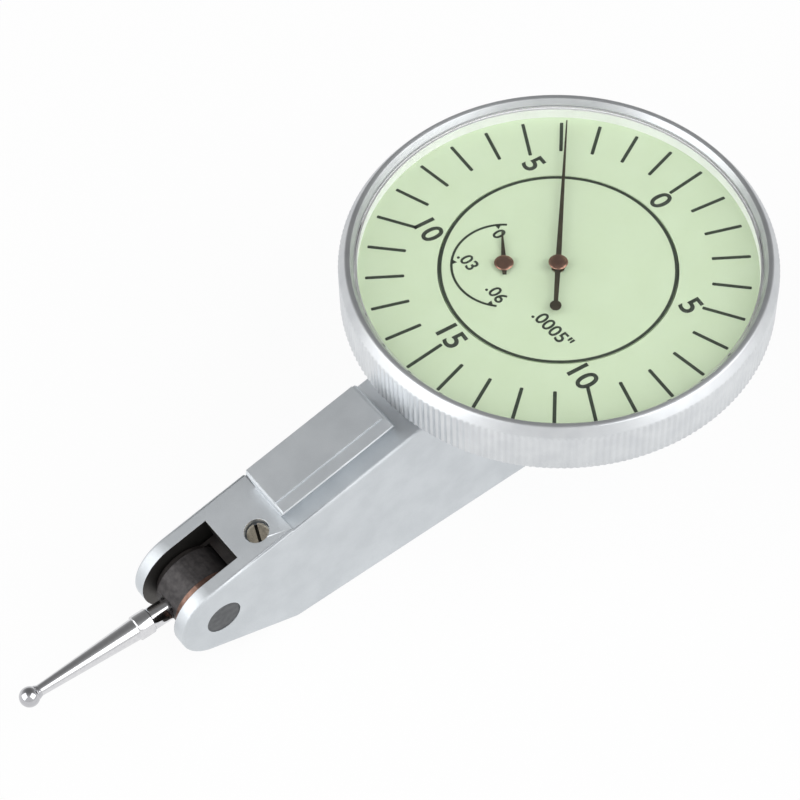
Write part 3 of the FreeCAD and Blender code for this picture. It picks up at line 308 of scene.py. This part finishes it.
def painted_shade_below(material, axis, height, shade_colour):
    """Darkens a material below a height along an axis: painted shade in a slot and a recess."""
    tree = material.node_tree
    shader = tree.nodes["Principled BSDF"]
    clean = shader.inputs["Base Color"].links[0].from_socket
    place = tree.nodes["Texture Coordinate"].outputs["Object"]
    along = tree.nodes.new("ShaderNodeVectorMath")
    along.operation = "DOT_PRODUCT"
    along.inputs[1].default_value = axis
    tree.links.new(place, along.inputs[0])
    shaded = blend_colours(tree, below(tree, along.outputs["Value"], height), shade_colour, shade_colour)
    tree.links.new(clean, shaded.node.inputs["Color1"])
    tree.links.new(shaded, shader.inputs["Base Color"])


screw_steel = scratched_steel(
    "screw_steel", (0.34, 0.30, 0.23), (0.45, 0.40, 0.31), 0.25, 0.42, 0.08 * MM, 0.003 * MM)
stop_steel = scratched_steel(
    "stop_steel", (0.40, 0.36, 0.29), (0.50, 0.45, 0.36), 0.25, 0.42, 0.08 * MM, 0.003 * MM)
screw_axis = Vector((-math.sin(TOP_TILT), 0, math.cos(TOP_TILT)))
head_top = max(screw_axis.dot(vertex.co) for vertex in frame["nodes"]["lever_stop_screw"].data.vertices)
# Painted shade: the stop screw is near black below its head's top face, in its slot and its recess.
painted_shade_below(stop_steel, screw_axis, head_top - 0.04 * MM, (0.03, 0.026, 0.02))
skin("lever_stop_screw", "stop_screw", stop_steel)
skin("plate_screws", "plate_screw_set", screw_steel)
skin("bracket_screws", "bracket_screw_set", screw_steel)

# --- Movement plate, bracket and pillars ---------------------------------------------------------
# Brass plate over the slot, a bent brass hanger below it for the pointer shaft, and three pillars
# that carry the dial. Rolled brass with a brushed face.


def brushed_brass(name, colour, dull, smooth, rough):
    """Rolled brass, brushed along the body, with small tarnished clouds."""
    material, tree, shader, place = node_material(name, colour, 1, rough)
    mapping = tree.nodes.new("ShaderNodeMapping")
    mapping.inputs["Scale"].default_value = (0.04, 1, 1)
    tree.links.new(place, mapping.inputs["Vector"])
    lines = noise(tree, mapping.outputs["Vector"], 0.05 * MM, 3)
    cloud = noise(tree, place, 1.2 * MM, 4)
    tone = spread(tree, cloud, 0.4, 0.7, 0, 1)
    tree.links.new(blend_colours(tree, tone, colour, dull), shader.inputs["Base Color"])
    tree.links.new(spread(tree, lines, 0.3, 0.7, smooth, rough), shader.inputs["Roughness"])
    relief(tree, shader, lines, 0.002 * MM, soft_edges(tree, 0.04 * MM))
    return material


brass = brushed_brass("brass", (0.70, 0.50, 0.22), (0.56, 0.38, 0.17), 0.26, 0.42)
for node in ("movement_plate", "staff_bracket", "dial_pillars", "hairspring_collet", "contrate_wheel",
             "counter_wheel", "lever_arm", "sector_gear"):
    coat(node, brass)

# --- Bearing stones ------------------------------------------------------------------------------
# Small synthetic ruby rings, pressed into the plate and the bracket for the upright shafts.
# Clear red with a polished face and faint growth lines inside.


def ruby_stone(name, colour, deep):
    material, tree, shader, place = node_material(name, colour, 0, 0.06)
    shader.inputs["IOR"].default_value = 1.76
    shader.inputs["Transmission Weight"].default_value = 0.35
    growth = noise(tree, place, 0.15 * MM, 4)
    tone = spread(tree, growth, 0.35, 0.65, 0, 1)
    tree.links.new(blend_colours(tree, tone, colour, deep), shader.inputs["Base Color"])
    relief(tree, shader, growth, 0.0005 * MM)
    return material


ruby = ruby_stone("ruby", (0.55, 0.02, 0.06), (0.32, 0.01, 0.035))
for node in ("staff_jewel_lower", "staff_jewel_upper", "counter_jewel"):
    coat(node, ruby)

# --- Hairspring and stud -------------------------------------------------------------------------
# Flat spiral of bronze ribbon that takes up the play of the train, with a round stud at its outer end.
# The ribbon is rolled, so its faces shine along its length.

spring_bronze = scratched_steel(
    "spring_bronze", (0.62, 0.40, 0.21), (0.50, 0.30, 0.15), 0.18, 0.3, 0.05 * MM, 0.001 * MM)
coat("hairspring", spring_bronze)
coat("hairspring_stud", spring_bronze)

# --- Shafts, pinions and lever -------------------------------------------------------------------
# Hardened and polished steel: the lever's axle and yoke, its rivets, the cross arbor and the two
# upright shafts with their pinions.

polished_steel = scratched_steel(
    "polished_steel", (0.62, 0.62, 0.63), (0.55, 0.55, 0.57), 0.1, 0.2, 0.07 * MM, 0.0008 * MM)
for node in ("pivot_axle", "lever_rivets", "contrate_arbor", "centre_staff", "counter_pinion", "counter_arbor",
             "bezel_snap_ring", "thrust_washer"):
    coat(node, polished_steel)

black_oxide = scratched_steel(
    "black_oxide", (0.022, 0.019, 0.018), (0.034, 0.029, 0.027), 0.38, 0.55, 0.12 * MM, 0.004 * MM)
black_oxide.node_tree.nodes["Principled BSDF"].inputs["Metallic"].default_value = 0.4
skin("lever_yoke", "lever_fork", black_oxide)

# --- Stylus holder and friction washer -----------------------------------------------------------
# Drum on the lever's axle, turned from steel and blackened, so it looks dark brown under light.
# A copper washer on its near side gives the friction that holds the stylus where it is set.

AT_PIVOT = (pivot.x, 0, pivot.z)
holder_black = turned_metal(
    "holder_black", (0.036, 0.033, 0.034), (0.066, 0.061, 0.061), 0.3, 0.46, AT_PIVOT, ALONG_Y,
    0.16 * MM, 0.003 * MM)
holder_black.node_tree.nodes["Principled BSDF"].inputs["Metallic"].default_value = 0.5
skin("stylus_holder", "swivel_drum", holder_black)

washer_copper = turned_metal(
    "washer_copper", (0.22, 0.135, 0.105), (0.15, 0.09, 0.07), 0.3, 0.44, AT_PIVOT, ALONG_Y,
    0.1 * MM, 0.003 * MM)
skin("friction_washer", "copper_washer", washer_copper)

# --- Stylus --------------------------------------------------------------------------------------
# One turned steel pin: a shank in the drum, a collar with two spanner flats and a long polished
# cone down to the ball. A rust-proof steel, ground and then polished along its length.


def drawn_out(name, profile, sides):
    """Round solid up the Z axis, drawn out ring by ring through (radius, height) points."""
    bpy.ops.object.select_all(action="DESELECT")
    radius, height = profile[0]
    bpy.ops.mesh.primitive_circle_add(
        vertices=sides, radius=radius, fill_type="NGON", location=(0, 0, height))
    piece = bpy.context.object
    piece.name = name
    bpy.ops.object.transform_apply(location=True, rotation=False, scale=False)
    bpy.ops.object.mode_set(mode="EDIT")
    for r, z in profile[1:]:
        bpy.ops.mesh.extrude_region_move(TRANSFORM_OT_translate={"value": (0, 0, z - height)})
        bpy.ops.transform.resize(value=(r / radius, r / radius, 1), center_override=(0, 0, z))
        radius, height = r, z
    bpy.ops.mesh.select_all(action="SELECT")
    bpy.ops.mesh.normals_make_consistent(inside=False)
    bpy.ops.object.mode_set(mode="OBJECT")
    return piece


def laid_down(piece, place):
    """Turns an upright piece to point forward along -X and moves it to its place."""
    piece.rotation_euler = (0, math.radians(-90), 0)
    piece.location = place
    bpy.ops.object.select_all(action="DESELECT")
    piece.select_set(True)
    bpy.context.view_layer.objects.active = piece
    bpy.ops.object.transform_apply(location=True, rotation=True, scale=True)


def applied(piece, kind, **settings):
    """Adds a modifier with these settings and applies it."""
    bpy.ops.object.select_all(action="DESELECT")
    piece.select_set(True)
    bpy.context.view_layer.objects.active = piece
    modifier = piece.modifiers.new(kind.lower(), kind)
    for key, value in settings.items():
        setattr(modifier, key, value)
    bpy.ops.object.modifier_apply(modifier=modifier.name)


def smoothed(piece, crease):
    bpy.ops.object.select_all(action="DESELECT")
    piece.select_set(True)
    bpy.context.view_layer.objects.active = piece
    bpy.ops.object.shade_smooth_by_angle(angle=math.radians(crease))


ball_low, ball_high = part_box("contact_ball")
ball_centre = (ball_low + ball_high) / 2
ball_radius = (ball_high.x - ball_low.x) / 2
reach = pivot.x - ball_centre.x
seat = 3.1 * MM
collar_back = 5.1 * MM
collar_front = 6.6 * MM
neck = reach - 0.72 * MM

pin = drawn_out("stylus_pin", [
    (0.98 * MM, seat), (1.0 * MM, seat + 0.05 * MM), (1.0 * MM, collar_back),
    (1.07 * MM, collar_back), (1.15 * MM, collar_back + 0.08 * MM),
    (1.15 * MM, collar_front - 0.08 * MM), (1.07 * MM, collar_front), (1.0 * MM, collar_front),
    (0.5 * MM, neck), (0.46 * MM, reach - 0.5 * MM),
], 64)
for side in (-1, 1):
    bpy.ops.object.select_all(action="DESELECT")
    bpy.ops.mesh.primitive_cube_add(
        size=1, location=(0, side * 1.9 * MM, (collar_back + collar_front) / 2),
        scale=(4 * MM, 2 * MM, collar_front - collar_back + 0.02 * MM))
    cutter = bpy.context.object
    applied(pin, "BOOLEAN", operation="DIFFERENCE", object=cutter, solver="EXACT")
    bpy.data.objects.remove(cutter)
applied(pin, "BEVEL", width=0.02 * MM, segments=2, limit_method="ANGLE", angle_limit=math.radians(40))
laid_down(pin, (pivot.x, 0, pivot.z))
smoothed(pin, 35)
applied(pin, "WEIGHTED_NORMAL", keep_sharp=True)
pin_steel = scratched_steel(
    "pin_steel", (0.72, 0.72, 0.73), (0.66, 0.66, 0.68), 0.06, 0.14, 0.07 * MM, 0.0006 * MM)
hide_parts("stylus")
finished(pin, pin_steel, "stylus_group")

# --- Contact ball --------------------------------------------------------------------------------
# Hard chromed steel ball, brazed on the end of the pin. The braze leaves a narrow collar of metal
# round the pin where it enters the ball.

bpy.ops.object.select_all(action="DESELECT")
bpy.ops.mesh.primitive_uv_sphere_add(segments=64, ring_count=32, radius=ball_radius)
ball = bpy.context.object
ball.name = "ball_tip"
bpy.ops.object.select_all(action="DESELECT")
braze = drawn_out("braze", [
    (0.47 * MM, -1.05 * MM), (0.53 * MM, -0.98 * MM), (0.56 * MM, -0.86 * MM), (0.64 * MM, -0.7 * MM),
    (0.6 * MM, -0.55 * MM),
], 48)
ball.select_set(True)
bpy.context.view_layer.objects.active = ball
bpy.ops.object.join()
laid_down(ball, ball_centre)
smoothed(ball, 40)
ball_chrome = scratched_steel(
    "ball_chrome", (0.56, 0.56, 0.58), (0.52, 0.52, 0.54), 0.05, 0.10, 0.1 * MM, 0.0003 * MM)
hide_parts("contact_ball")
finished(ball, ball_chrome, "stylus_group")

# --- Dial ----------------------------------------------------------------------------------------
# Two flush aluminium parts enamelled in one pale green: the disc in the middle stays still, the
# ring round it turns with the bezel. The enamel is matt, with a faint orange-peel skin.


def enamel(name, colour, deep, rough):
    material, tree, shader, place = node_material(name, colour, 0, rough)
    cloud = noise(tree, place, 3 * MM, 3)
    peel = noise(tree, place, 0.22 * MM, 2)
    tone = spread(tree, cloud, 0.35, 0.65, 0, 1)
    tree.links.new(blend_colours(tree, tone, deep, colour), shader.inputs["Base Color"])
    tree.links.new(spread(tree, peel, 0.3, 0.7, rough - 0.06, rough + 0.06), shader.inputs["Roughness"])
    relief(tree, shader, peel, 0.001 * MM)
    return material


dial_green = enamel("dial_green", (0.615, 0.725, 0.525), (0.60, 0.71, 0.505), 0.5)
coat("dial_disc", dial_green)
coat("dial_ring", dial_green)
dial_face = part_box("dial_ring")[1].z

# --- Graduations ---------------------------------------------------------------------------------
# Thirty strokes printed on the turning ring, one every 12 degrees, every fifth one longer.
# Pad-printed ink that stands a hundredth of a millimetre proud, with softly rounded ends.

PRINT = 0.012 * MM
PRINT_FROM = dial_face + 0.003 * MM


def ink(name, colour):
    material, tree, shader, place = node_material(name, colour, 0, 0.5)
    cover = noise(tree, place, 0.09 * MM, 3)
    thin = tuple(channel * 1.7 for channel in colour)
    tone = spread(tree, cover, 0.45, 0.75, 0, 1)
    tree.links.new(blend_colours(tree, tone, colour, thin), shader.inputs["Base Color"])
    relief(tree, shader, cover, 0.0006 * MM)
    return material


def printed(piece, material, body):
    """Gives a flat outline the thickness of the ink and sets it on its part of the dial."""
    applied(piece, "SOLIDIFY", thickness=PRINT, offset=1)
    return finished(piece, material, body)


def joined(pieces, name):
    bpy.ops.object.select_all(action="DESELECT")
    for piece in pieces:
        piece.select_set(True)
    bpy.context.view_layer.objects.active = pieces[0]
    bpy.ops.object.join()
    pieces[0].name = name
    return pieces[0]


def stroke(length, width):
    """One printed stroke along X from the origin, with its corners rounded."""
    bpy.ops.object.select_all(action="DESELECT")
    bpy.ops.mesh.primitive_plane_add(size=1, location=(length / 2, 0, 0))
    bpy.context.object.scale = (length, width, 1)
    bpy.ops.object.transform_apply(location=True, rotation=False, scale=True)
    bpy.ops.object.mode_set(mode="EDIT")
    bpy.ops.mesh.select_all(action="SELECT")
    bpy.ops.mesh.bevel(offset=width * 0.3, segments=3, affect="VERTICES")
    bpy.ops.object.mode_set(mode="OBJECT")
    return bpy.context.object


def copied(piece, turn, place):
    """Copy with its own mesh, turned round Z and moved, both put into the mesh."""
    copy = piece.copy()
    copy.data = piece.data.copy()
    bpy.context.scene.collection.objects.link(copy)
    copy.data.transform(Matrix.Translation(place) @ Matrix.Rotation(turn, 4, "Z"))
    return copy


dial_ink = ink("dial_ink", (0.016, 0.026, 0.014))
long_stroke = stroke(3.8 * MM, 0.31 * MM)
short_stroke = stroke(3.4 * MM, 0.31 * MM)
strokes = []
for index in range(30):
    angle = math.radians(1.6 + 12 * index)
    model, start = (long_stroke, 13.0 * MM) if index % 5 == 0 else (short_stroke, 13.3 * MM)
    place = Vector((start * math.cos(angle), start * math.sin(angle), PRINT_FROM))
    strokes.append(copied(model, angle, place))
bpy.data.objects.remove(long_stroke)
bpy.data.objects.remove(short_stroke)
printed(joined(strokes, "dial_graduations"), dial_ink, "bezel_group")

# --- Numbers -------------------------------------------------------------------------------------
# Plain numbers beside the long strokes, all printed the same way up: their tops point to the rear.
# They count by fives from 0 to 15 both ways round.


def lettering(words, height, x, y, weight, turn=-90):
    """Printed figures centred on a place on the dial; unturned, their tops point towards +Y."""
    bpy.ops.object.select_all(action="DESELECT")
    bpy.ops.object.text_add()
    text = bpy.context.object
    text.data.body = words
    text.data.size = height / 0.69
    text.data.align_x = "CENTER"
    text.data.align_y = "CENTER"
    text.data.offset = weight
    text.data.resolution_u = 6
    bpy.ops.object.convert(target="MESH")
    figures = bpy.context.object
    corners = [Vector(corner) for corner in figures.bound_box]
    middle = (corners[0] + corners[6]) / 2
    figures.data.transform(Matrix.Translation(-middle))
    figures.data.transform(
        Matrix.Translation((x, y, PRINT_FROM)) @ Matrix.Rotation(math.radians(turn), 4, "Z"))
    return figures


numbers = []
for words, step, radius in (("0", 0, 11.85), ("5", 5, 12.0), ("10", 10, 11.9), ("15", 15, 11.8),
                            ("10", 20, 11.95), ("5", 25, 12.0)):
    angle = math.radians(1.1 + 12 * step)
    numbers.append(lettering(
        words, 1.95 * MM, radius * MM * math.cos(angle), radius * MM * math.sin(angle), 0.05 * MM, -96))
printed(joined(numbers, "dial_numbers"), dial_ink, "bezel_group")

# --- Middle of the dial --------------------------------------------------------------------------
# Print on the fixed disc: a circle along its edge, the value of one graduation, and the scale of
# the turn counter, an open arc with three inward marks from 0 to .06 inch.


def band(name, x, y, inner, outer, first=0, last=360):
    """Flat printed band round a centre, cut down to the part between two directions in degrees."""
    bpy.ops.object.select_all(action="DESELECT")
    bpy.ops.mesh.primitive_circle_add(vertices=240, radius=inner)
    piece = bpy.context.object
    piece.name = name
    bpy.ops.object.mode_set(mode="EDIT")
    bpy.ops.mesh.extrude_edges_move()
    bpy.ops.transform.resize(value=(outer / inner, outer / inner, 1), center_override=(0, 0, 0))
    bpy.ops.mesh.select_all(action="DESELECT")
    bpy.ops.object.mode_set(mode="OBJECT")
    for vertex in piece.data.vertices:
        way = math.degrees(math.atan2(vertex.co.y, vertex.co.x)) % 360
        vertex.select = not first - 0.1 <= way <= last + 0.1
    bpy.ops.object.mode_set(mode="EDIT")
    bpy.ops.mesh.delete(type="VERT")
    bpy.ops.mesh.select_all(action="SELECT")
    bpy.ops.mesh.normals_make_consistent(inside=False)
    bpy.ops.object.mode_set(mode="OBJECT")
    piece.data.transform(Matrix.Translation((x, y, PRINT_FROM)))
    if piece.data.polygons[0].normal.z < 0:
        piece.data.flip_normals()
    return piece


disc_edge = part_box("dial_disc")[1].x
circle = band("dial_circle", 0, 0, disc_edge - 0.28 * MM, disc_edge)
printed(circle, dial_ink, "housing_group")

counter_low, counter_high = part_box("counter_arbor")
counter = (counter_low + counter_high) / 2
scale_radius = 4.65 * MM
scale_parts = [band("scale_arc", counter.x, counter.y, scale_radius - 0.22 * MM, scale_radius, 47, 224)]
for way in (58, 137, 216):
    bpy.ops.object.select_all(action="DESELECT")
    bpy.ops.mesh.primitive_circle_add(vertices=3, radius=0.3 * MM, fill_type="NGON")
    mark = bpy.context.object
    angle = math.radians(way)
    inward = scale_radius - 0.3 * MM
    place = (counter.x + inward * math.cos(angle), counter.y + inward * math.sin(angle), PRINT_FROM)
    mark.data.transform(Matrix.Translation(place) @ Matrix.Rotation(angle + math.pi / 2, 4, "Z"))
    scale_parts.append(mark)
for words, x, y in (("0", -1.65, 6.09), (".03", -5.65, 5.37), (".06", -5.94, 1.02)):
    scale_parts.append(lettering(words, 1.15 * MM, x * MM, y * MM, 0.03 * MM, -94))
printed(joined(scale_parts, "counter_scale"), dial_ink, "housing_group")
unit = lettering('.0005"', 1.2 * MM, -4.57 * MM, -4.9 * MM, 0.03 * MM)
unit.name = "unit_mark"
printed(unit, dial_ink, "housing_group")

# --- Pointers ------------------------------------------------------------------------------------
# Thin blades blanked from spring steel and painted a dark olive brown: a long one with a round
# counterweight on its tail, and a short one that counts the turns.


def thin_paint(name, colour, edge):
    material, tree, shader, place = node_material(name, colour, 0.2, 0.4)
    wear = noise(tree, place, 0.25 * MM, 4)
    tone = spread(tree, wear, 0.5, 0.8, 0, 1)
    tree.links.new(blend_colours(tree, tone, colour, edge), shader.inputs["Base Color"])
    tree.links.new(spread(tree, wear, 0.3, 0.7, 0.34, 0.46), shader.inputs["Roughness"])
    relief(tree, shader, wear, 0.0006 * MM)
    return material


pointer_paint = thin_paint("pointer_paint", (0.030, 0.024, 0.012), (0.06, 0.048, 0.025))
skin("main_pointer", "long_pointer", pointer_paint)
skin("counter_pointer", "short_pointer", pointer_paint)

# --- Pointer caps --------------------------------------------------------------------------------
# Domed copper-coloured caps pushed over the shaft ends. Turned, polished and lightly tarnished.

cap_copper = scratched_steel(
    "cap_copper", (0.42, 0.24, 0.18), (0.30, 0.16, 0.12), 0.14, 0.26, 0.12 * MM, 0.001 * MM)
for node, name, body in (("main_pointer_cap", "long_pointer_cap", "main_pointer_group"),
                         ("counter_pointer_cap", "short_pointer_cap", "counter_group")):
    low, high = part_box(node)
    middle = (low + high) / 2
    radius = (high.x - low.x) / 2
    rise = high.z - low.z
    outline = [(0.94 * radius, 0), (radius, 0.1 * rise), (0.97 * radius, 0.25 * rise), (0.85 * radius, 0.48 * rise),
               (0.66 * radius, 0.72 * rise), (0.42 * radius, 0.9 * rise), (0.18 * radius, 0.985 * rise),
               (0.03 * radius, rise)]
    cap = drawn_out(name, outline, 48)
    cap.data.transform(Matrix.Translation((middle.x, middle.y, low.z)))
    smoothed(cap, 60)
    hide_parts(node)
    finished(cap, cap_copper, body)

# --- Bezel ---------------------------------------------------------------------------------------
# Turned ring that a finger turns by its straight knurl of 210 fine ridges, with a bevelled rim above
# and a bore that snaps over the case. Turned steel, satin chromed, with lathe marks on its rim.

RIDGES = 210
RIDGE_DEPTH = 0.065 * MM
BEZEL_OUTLINE = [
    (17.3, 0.05), (17.35, 0), (18.9, 0), (18.97, 0.03), (19.0, 0.1), (19.0, 4.0), (18.98, 4.1), (18.93, 4.19),
    (18.85, 4.3), (18.45, 4.93), (18.39, 5.0), (18.3, 5.04), (18.2, 5.05), (17.98, 5.05), (17.93, 5.03),
    (17.63, 4.55), (17.6, 4.48), (17.6, 2.56), (17.3, 2.55), (17.3, 1.55), (17.58, 1.55), (17.58, 1.05),
    (17.3, 1.05),
]
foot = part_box("bezel")[0].z
BEZEL_PROFILE = [(r * MM, foot + z * MM) for r, z in BEZEL_OUTLINE]

bpy.ops.object.select_all(action="DESELECT")
radius, height = BEZEL_PROFILE[0]
bpy.ops.mesh.primitive_circle_add(vertices=4 * RIDGES, radius=radius, location=(0, 0, height))
ring = bpy.context.object
ring.name = "knurled_bezel"
bpy.ops.object.transform_apply(location=True, rotation=False, scale=False)
bpy.ops.object.mode_set(mode="EDIT")
for r, z in BEZEL_PROFILE[1:] + BEZEL_PROFILE[:1]:
    bpy.ops.mesh.extrude_edges_move(TRANSFORM_OT_translate={"value": (0, 0, z - height)})
    bpy.ops.transform.resize(value=(r / radius, r / radius, 1), center_override=(0, 0, z))
    radius, height = r, z
bpy.ops.mesh.select_all(action="SELECT")
bpy.ops.mesh.remove_doubles(threshold=0.001 * MM)
bpy.ops.mesh.normals_make_consistent(inside=False)
bpy.ops.mesh.select_mode(type="VERT")
bpy.ops.mesh.select_all(action="DESELECT")
bpy.ops.object.mode_set(mode="OBJECT")
for vertex in ring.data.vertices:
    step = round(math.atan2(vertex.co.y, vertex.co.x) / math.tau * 4 * RIDGES) % 4
    in_band = 0.02 * MM < vertex.co.z - foot < 4.15 * MM and vertex.co.xy.length > 18.95 * MM
    vertex.select = in_band and step in (0, 1)
bpy.ops.object.mode_set(mode="EDIT")
groove = 1 - RIDGE_DEPTH / (19 * MM)
bpy.ops.transform.resize(value=(groove, groove, 1), center_override=(0, 0, 0))
bpy.ops.object.mode_set(mode="OBJECT")
smoothed(ring, 28)


def lathed_chrome(name, dark, light, smooth, rough):
    """Satin chrome over turned steel: as on the housing, with fine tool marks round the dial's axis."""
    material, tree, shader, place = node_material(name, light, 1, rough)
    marks = rings(tree, place, (0, 0, 0), (0, 0, 0), 0.09 * MM)
    cloud = noise(tree, place, 1.8 * MM, 3)
    tone = spread(tree, cloud, 0.35, 0.65, 0, 1)
    tree.links.new(blend_colours(tree, tone, dark, light), shader.inputs["Base Color"])
    tree.links.new(spread(tree, marks, 0, 1, smooth, rough), shader.inputs["Roughness"])
    around = tree.nodes.new("ShaderNodeTangent")
    around.axis = "Z"
    tree.links.new(around.outputs["Tangent"], shader.inputs["Tangent"])
    shader.inputs["Anisotropic"].default_value = 0.7
    shader.inputs["Anisotropic Rotation"].default_value = 0.25
    relief(tree, shader, marks, 0.0015 * MM, soft_edges(tree, 0.03 * MM))
    return material


bezel_chrome = lathed_chrome("bezel_chrome", (0.66, 0.68, 0.70), (0.72, 0.74, 0.755), 0.34, 0.46)
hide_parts("bezel")
finished(ring, bezel_chrome, "bezel_group")

# --- Crystal and its ring ------------------------------------------------------------------------
# Flat mineral glass held under the foot of the inner bevel, on a thin turned ring that also
# clamps the dial ring. The glass is clear and hardly shows, and the ring inside it is bright.


def clear_glass(name):
    """Clear glass that lets lamps through, with faint ripples in its gloss."""
    material, tree, shader, place = node_material(name, (0.99, 1.0, 0.99), 0, 0.0)
    shader.inputs["IOR"].default_value = 1.45
    shader.inputs["Transmission Weight"].default_value = 1
    ripple = noise(tree, place, 4 * MM, 2)
    relief(tree, shader, ripple, 0.0004 * MM)
    path = tree.nodes.new("ShaderNodeLightPath")
    clear = tree.nodes.new("ShaderNodeBsdfTransparent")
    mix = tree.nodes.new("ShaderNodeMixShader")
    tree.links.new(path.outputs["Is Shadow Ray"], mix.inputs["Fac"])
    tree.links.new(shader.outputs["BSDF"], mix.inputs[1])
    tree.links.new(clear.outputs["BSDF"], mix.inputs[2])
    tree.links.new(mix.outputs["Shader"], tree.nodes["Material Output"].inputs["Surface"])
    return material


low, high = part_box("crystal")
edge = high.x - 0.02 * MM
pane = drawn_out("crystal_pane", [
    (edge - 0.06 * MM, low.z), (edge, low.z + 0.06 * MM), (edge, high.z - 0.06 * MM),
    (edge - 0.06 * MM, high.z)], 240)
smoothed(pane, 30)
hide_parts("crystal")
finished(pane, clear_glass("crystal_glass"), "bezel_group")
ring_white = enamel("ring_white", (0.97, 0.97, 0.98), (0.94, 0.94, 0.95), 0.4)
skin("crystal_ring", "clamp_ring", ring_white)

# --- Floor, light and camera ---------------------------------------------------------------------
# A plain white table under soft, even light. The camera stands before the nose, to the near side,
# and looks down at the dial.

bpy.ops.object.select_all(action="DESELECT")
bpy.ops.mesh.primitive_plane_add(size=3)
table = bpy.context.object
table.name = "table"
paper, tree, shader, place = node_material("paper", (0.86, 0.86, 0.86), 0, 0.8)
path = tree.nodes.new("ShaderNodeLightPath")
glow = tree.nodes.new("ShaderNodeEmission")
mix = tree.nodes.new("ShaderNodeMixShader")
either = tree.nodes.new("ShaderNodeMath")
either.operation = "MAXIMUM"
third = tree.nodes.new("ShaderNodeMath")
third.operation = "MAXIMUM"
share = tree.nodes.new("ShaderNodeMath")
share.operation = "MULTIPLY"
share.inputs[1].default_value = 0.93
tree.links.new(path.outputs["Is Camera Ray"], either.inputs[0])
tree.links.new(path.outputs["Is Glossy Ray"], either.inputs[1])
tree.links.new(either.outputs["Value"], third.inputs[0])
tree.links.new(path.outputs["Is Transmission Ray"], third.inputs[1])
tree.links.new(third.outputs["Value"], share.inputs[0])
tree.links.new(share.outputs["Value"], mix.inputs["Fac"])
tree.links.new(shader.outputs["BSDF"], mix.inputs[1])
tree.links.new(glow.outputs["Emission"], mix.inputs[2])
tree.links.new(mix.outputs["Shader"], tree.nodes["Material Output"].inputs["Surface"])
table.data.materials.append(paper)

DARK_SIDE = (0.35, 0.50, 0.79)
world = bpy.data.worlds.new("studio")
bpy.context.scene.world = world
world.use_nodes = True
sky = world.node_tree
backdrop = sky.nodes["Background"]
way = sky.nodes.new("ShaderNodeTexCoord")
facing = sky.nodes.new("ShaderNodeVectorMath")
facing.operation = "DOT_PRODUCT"
facing.inputs[1].default_value = DARK_SIDE
ramp = sky.nodes.new("ShaderNodeMapRange")
ramp.interpolation_type = "SMOOTHSTEP"
sky.links.new(way.outputs["Generated"], facing.inputs[0])
sky.links.new(facing.outputs["Value"], ramp.inputs["Value"])
ramp.inputs["From Min"].default_value = 0.2
ramp.inputs["From Max"].default_value = 1.0
ramp.inputs["To Min"].default_value = 0.80
ramp.inputs["To Max"].default_value = 0.22
sky.links.new(ramp.outputs["Result"], backdrop.inputs["Strength"])
eye = sky.nodes.new("ShaderNodeLightPath")
white = sky.nodes.new("ShaderNodeBackground")
choose = sky.nodes.new("ShaderNodeMixShader")
sky.links.new(eye.outputs["Is Camera Ray"], choose.inputs["Fac"])
sky.links.new(backdrop.outputs["Background"], choose.inputs[1])
sky.links.new(white.outputs["Background"], choose.inputs[2])
sky.links.new(choose.outputs["Shader"], sky.nodes["World Output"].inputs["Surface"])
white.inputs["Color"].default_value = (1, 1, 1, 1)
backdrop.inputs["Color"].default_value = (1, 1, 1, 1)


def softbox(name, place, size, strength):
    """Square lamp aimed at the middle of the indicator, as bright as a white card at strength 1."""
    lamp = bpy.data.lights.new(name, "AREA")
    lamp.size = size
    lamp.energy = strength * math.pi * size * size
    holder = bpy.data.objects.new(name, lamp)
    holder.location = place
    holder.rotation_euler = (Vector((-0.015, 0, 0.01)) - Vector(place)).to_track_quat("-Z", "Y").to_euler()
    bpy.context.scene.collection.objects.link(holder)
    return holder


softbox("softbox_front", Vector((-0.79, 0.216, 0.563)) * 0.6, 0.60, 1.65)
softbox("softbox_near", Vector((0.361, -0.631, 0.685)) * 0.6, 0.60, 1.65)

lens = bpy.data.cameras.new("camera")
lens.sensor_width = 36
lens.lens = 120.9
lens.clip_start = 0.01
camera = bpy.data.objects.new("camera", lens)
bpy.context.scene.collection.objects.link(camera)
forward = Vector((0.341, 0.4816, -0.8073)).normalized()
roll = math.radians(2.494)
level = forward.cross(Vector((0, 0, 1))).normalized()
upright = level.cross(forward)
right = level * math.cos(roll) - upright * math.sin(roll)
up = right.cross(forward)
turn = Matrix((right, up, -forward)).transposed().to_4x4()
camera.matrix_world = Matrix.Translation((-0.0957, -0.1107, 0.20152)) @ turn
bpy.context.scene.camera = camera
bpy.context.scene.view_settings.view_transform = "Standard"
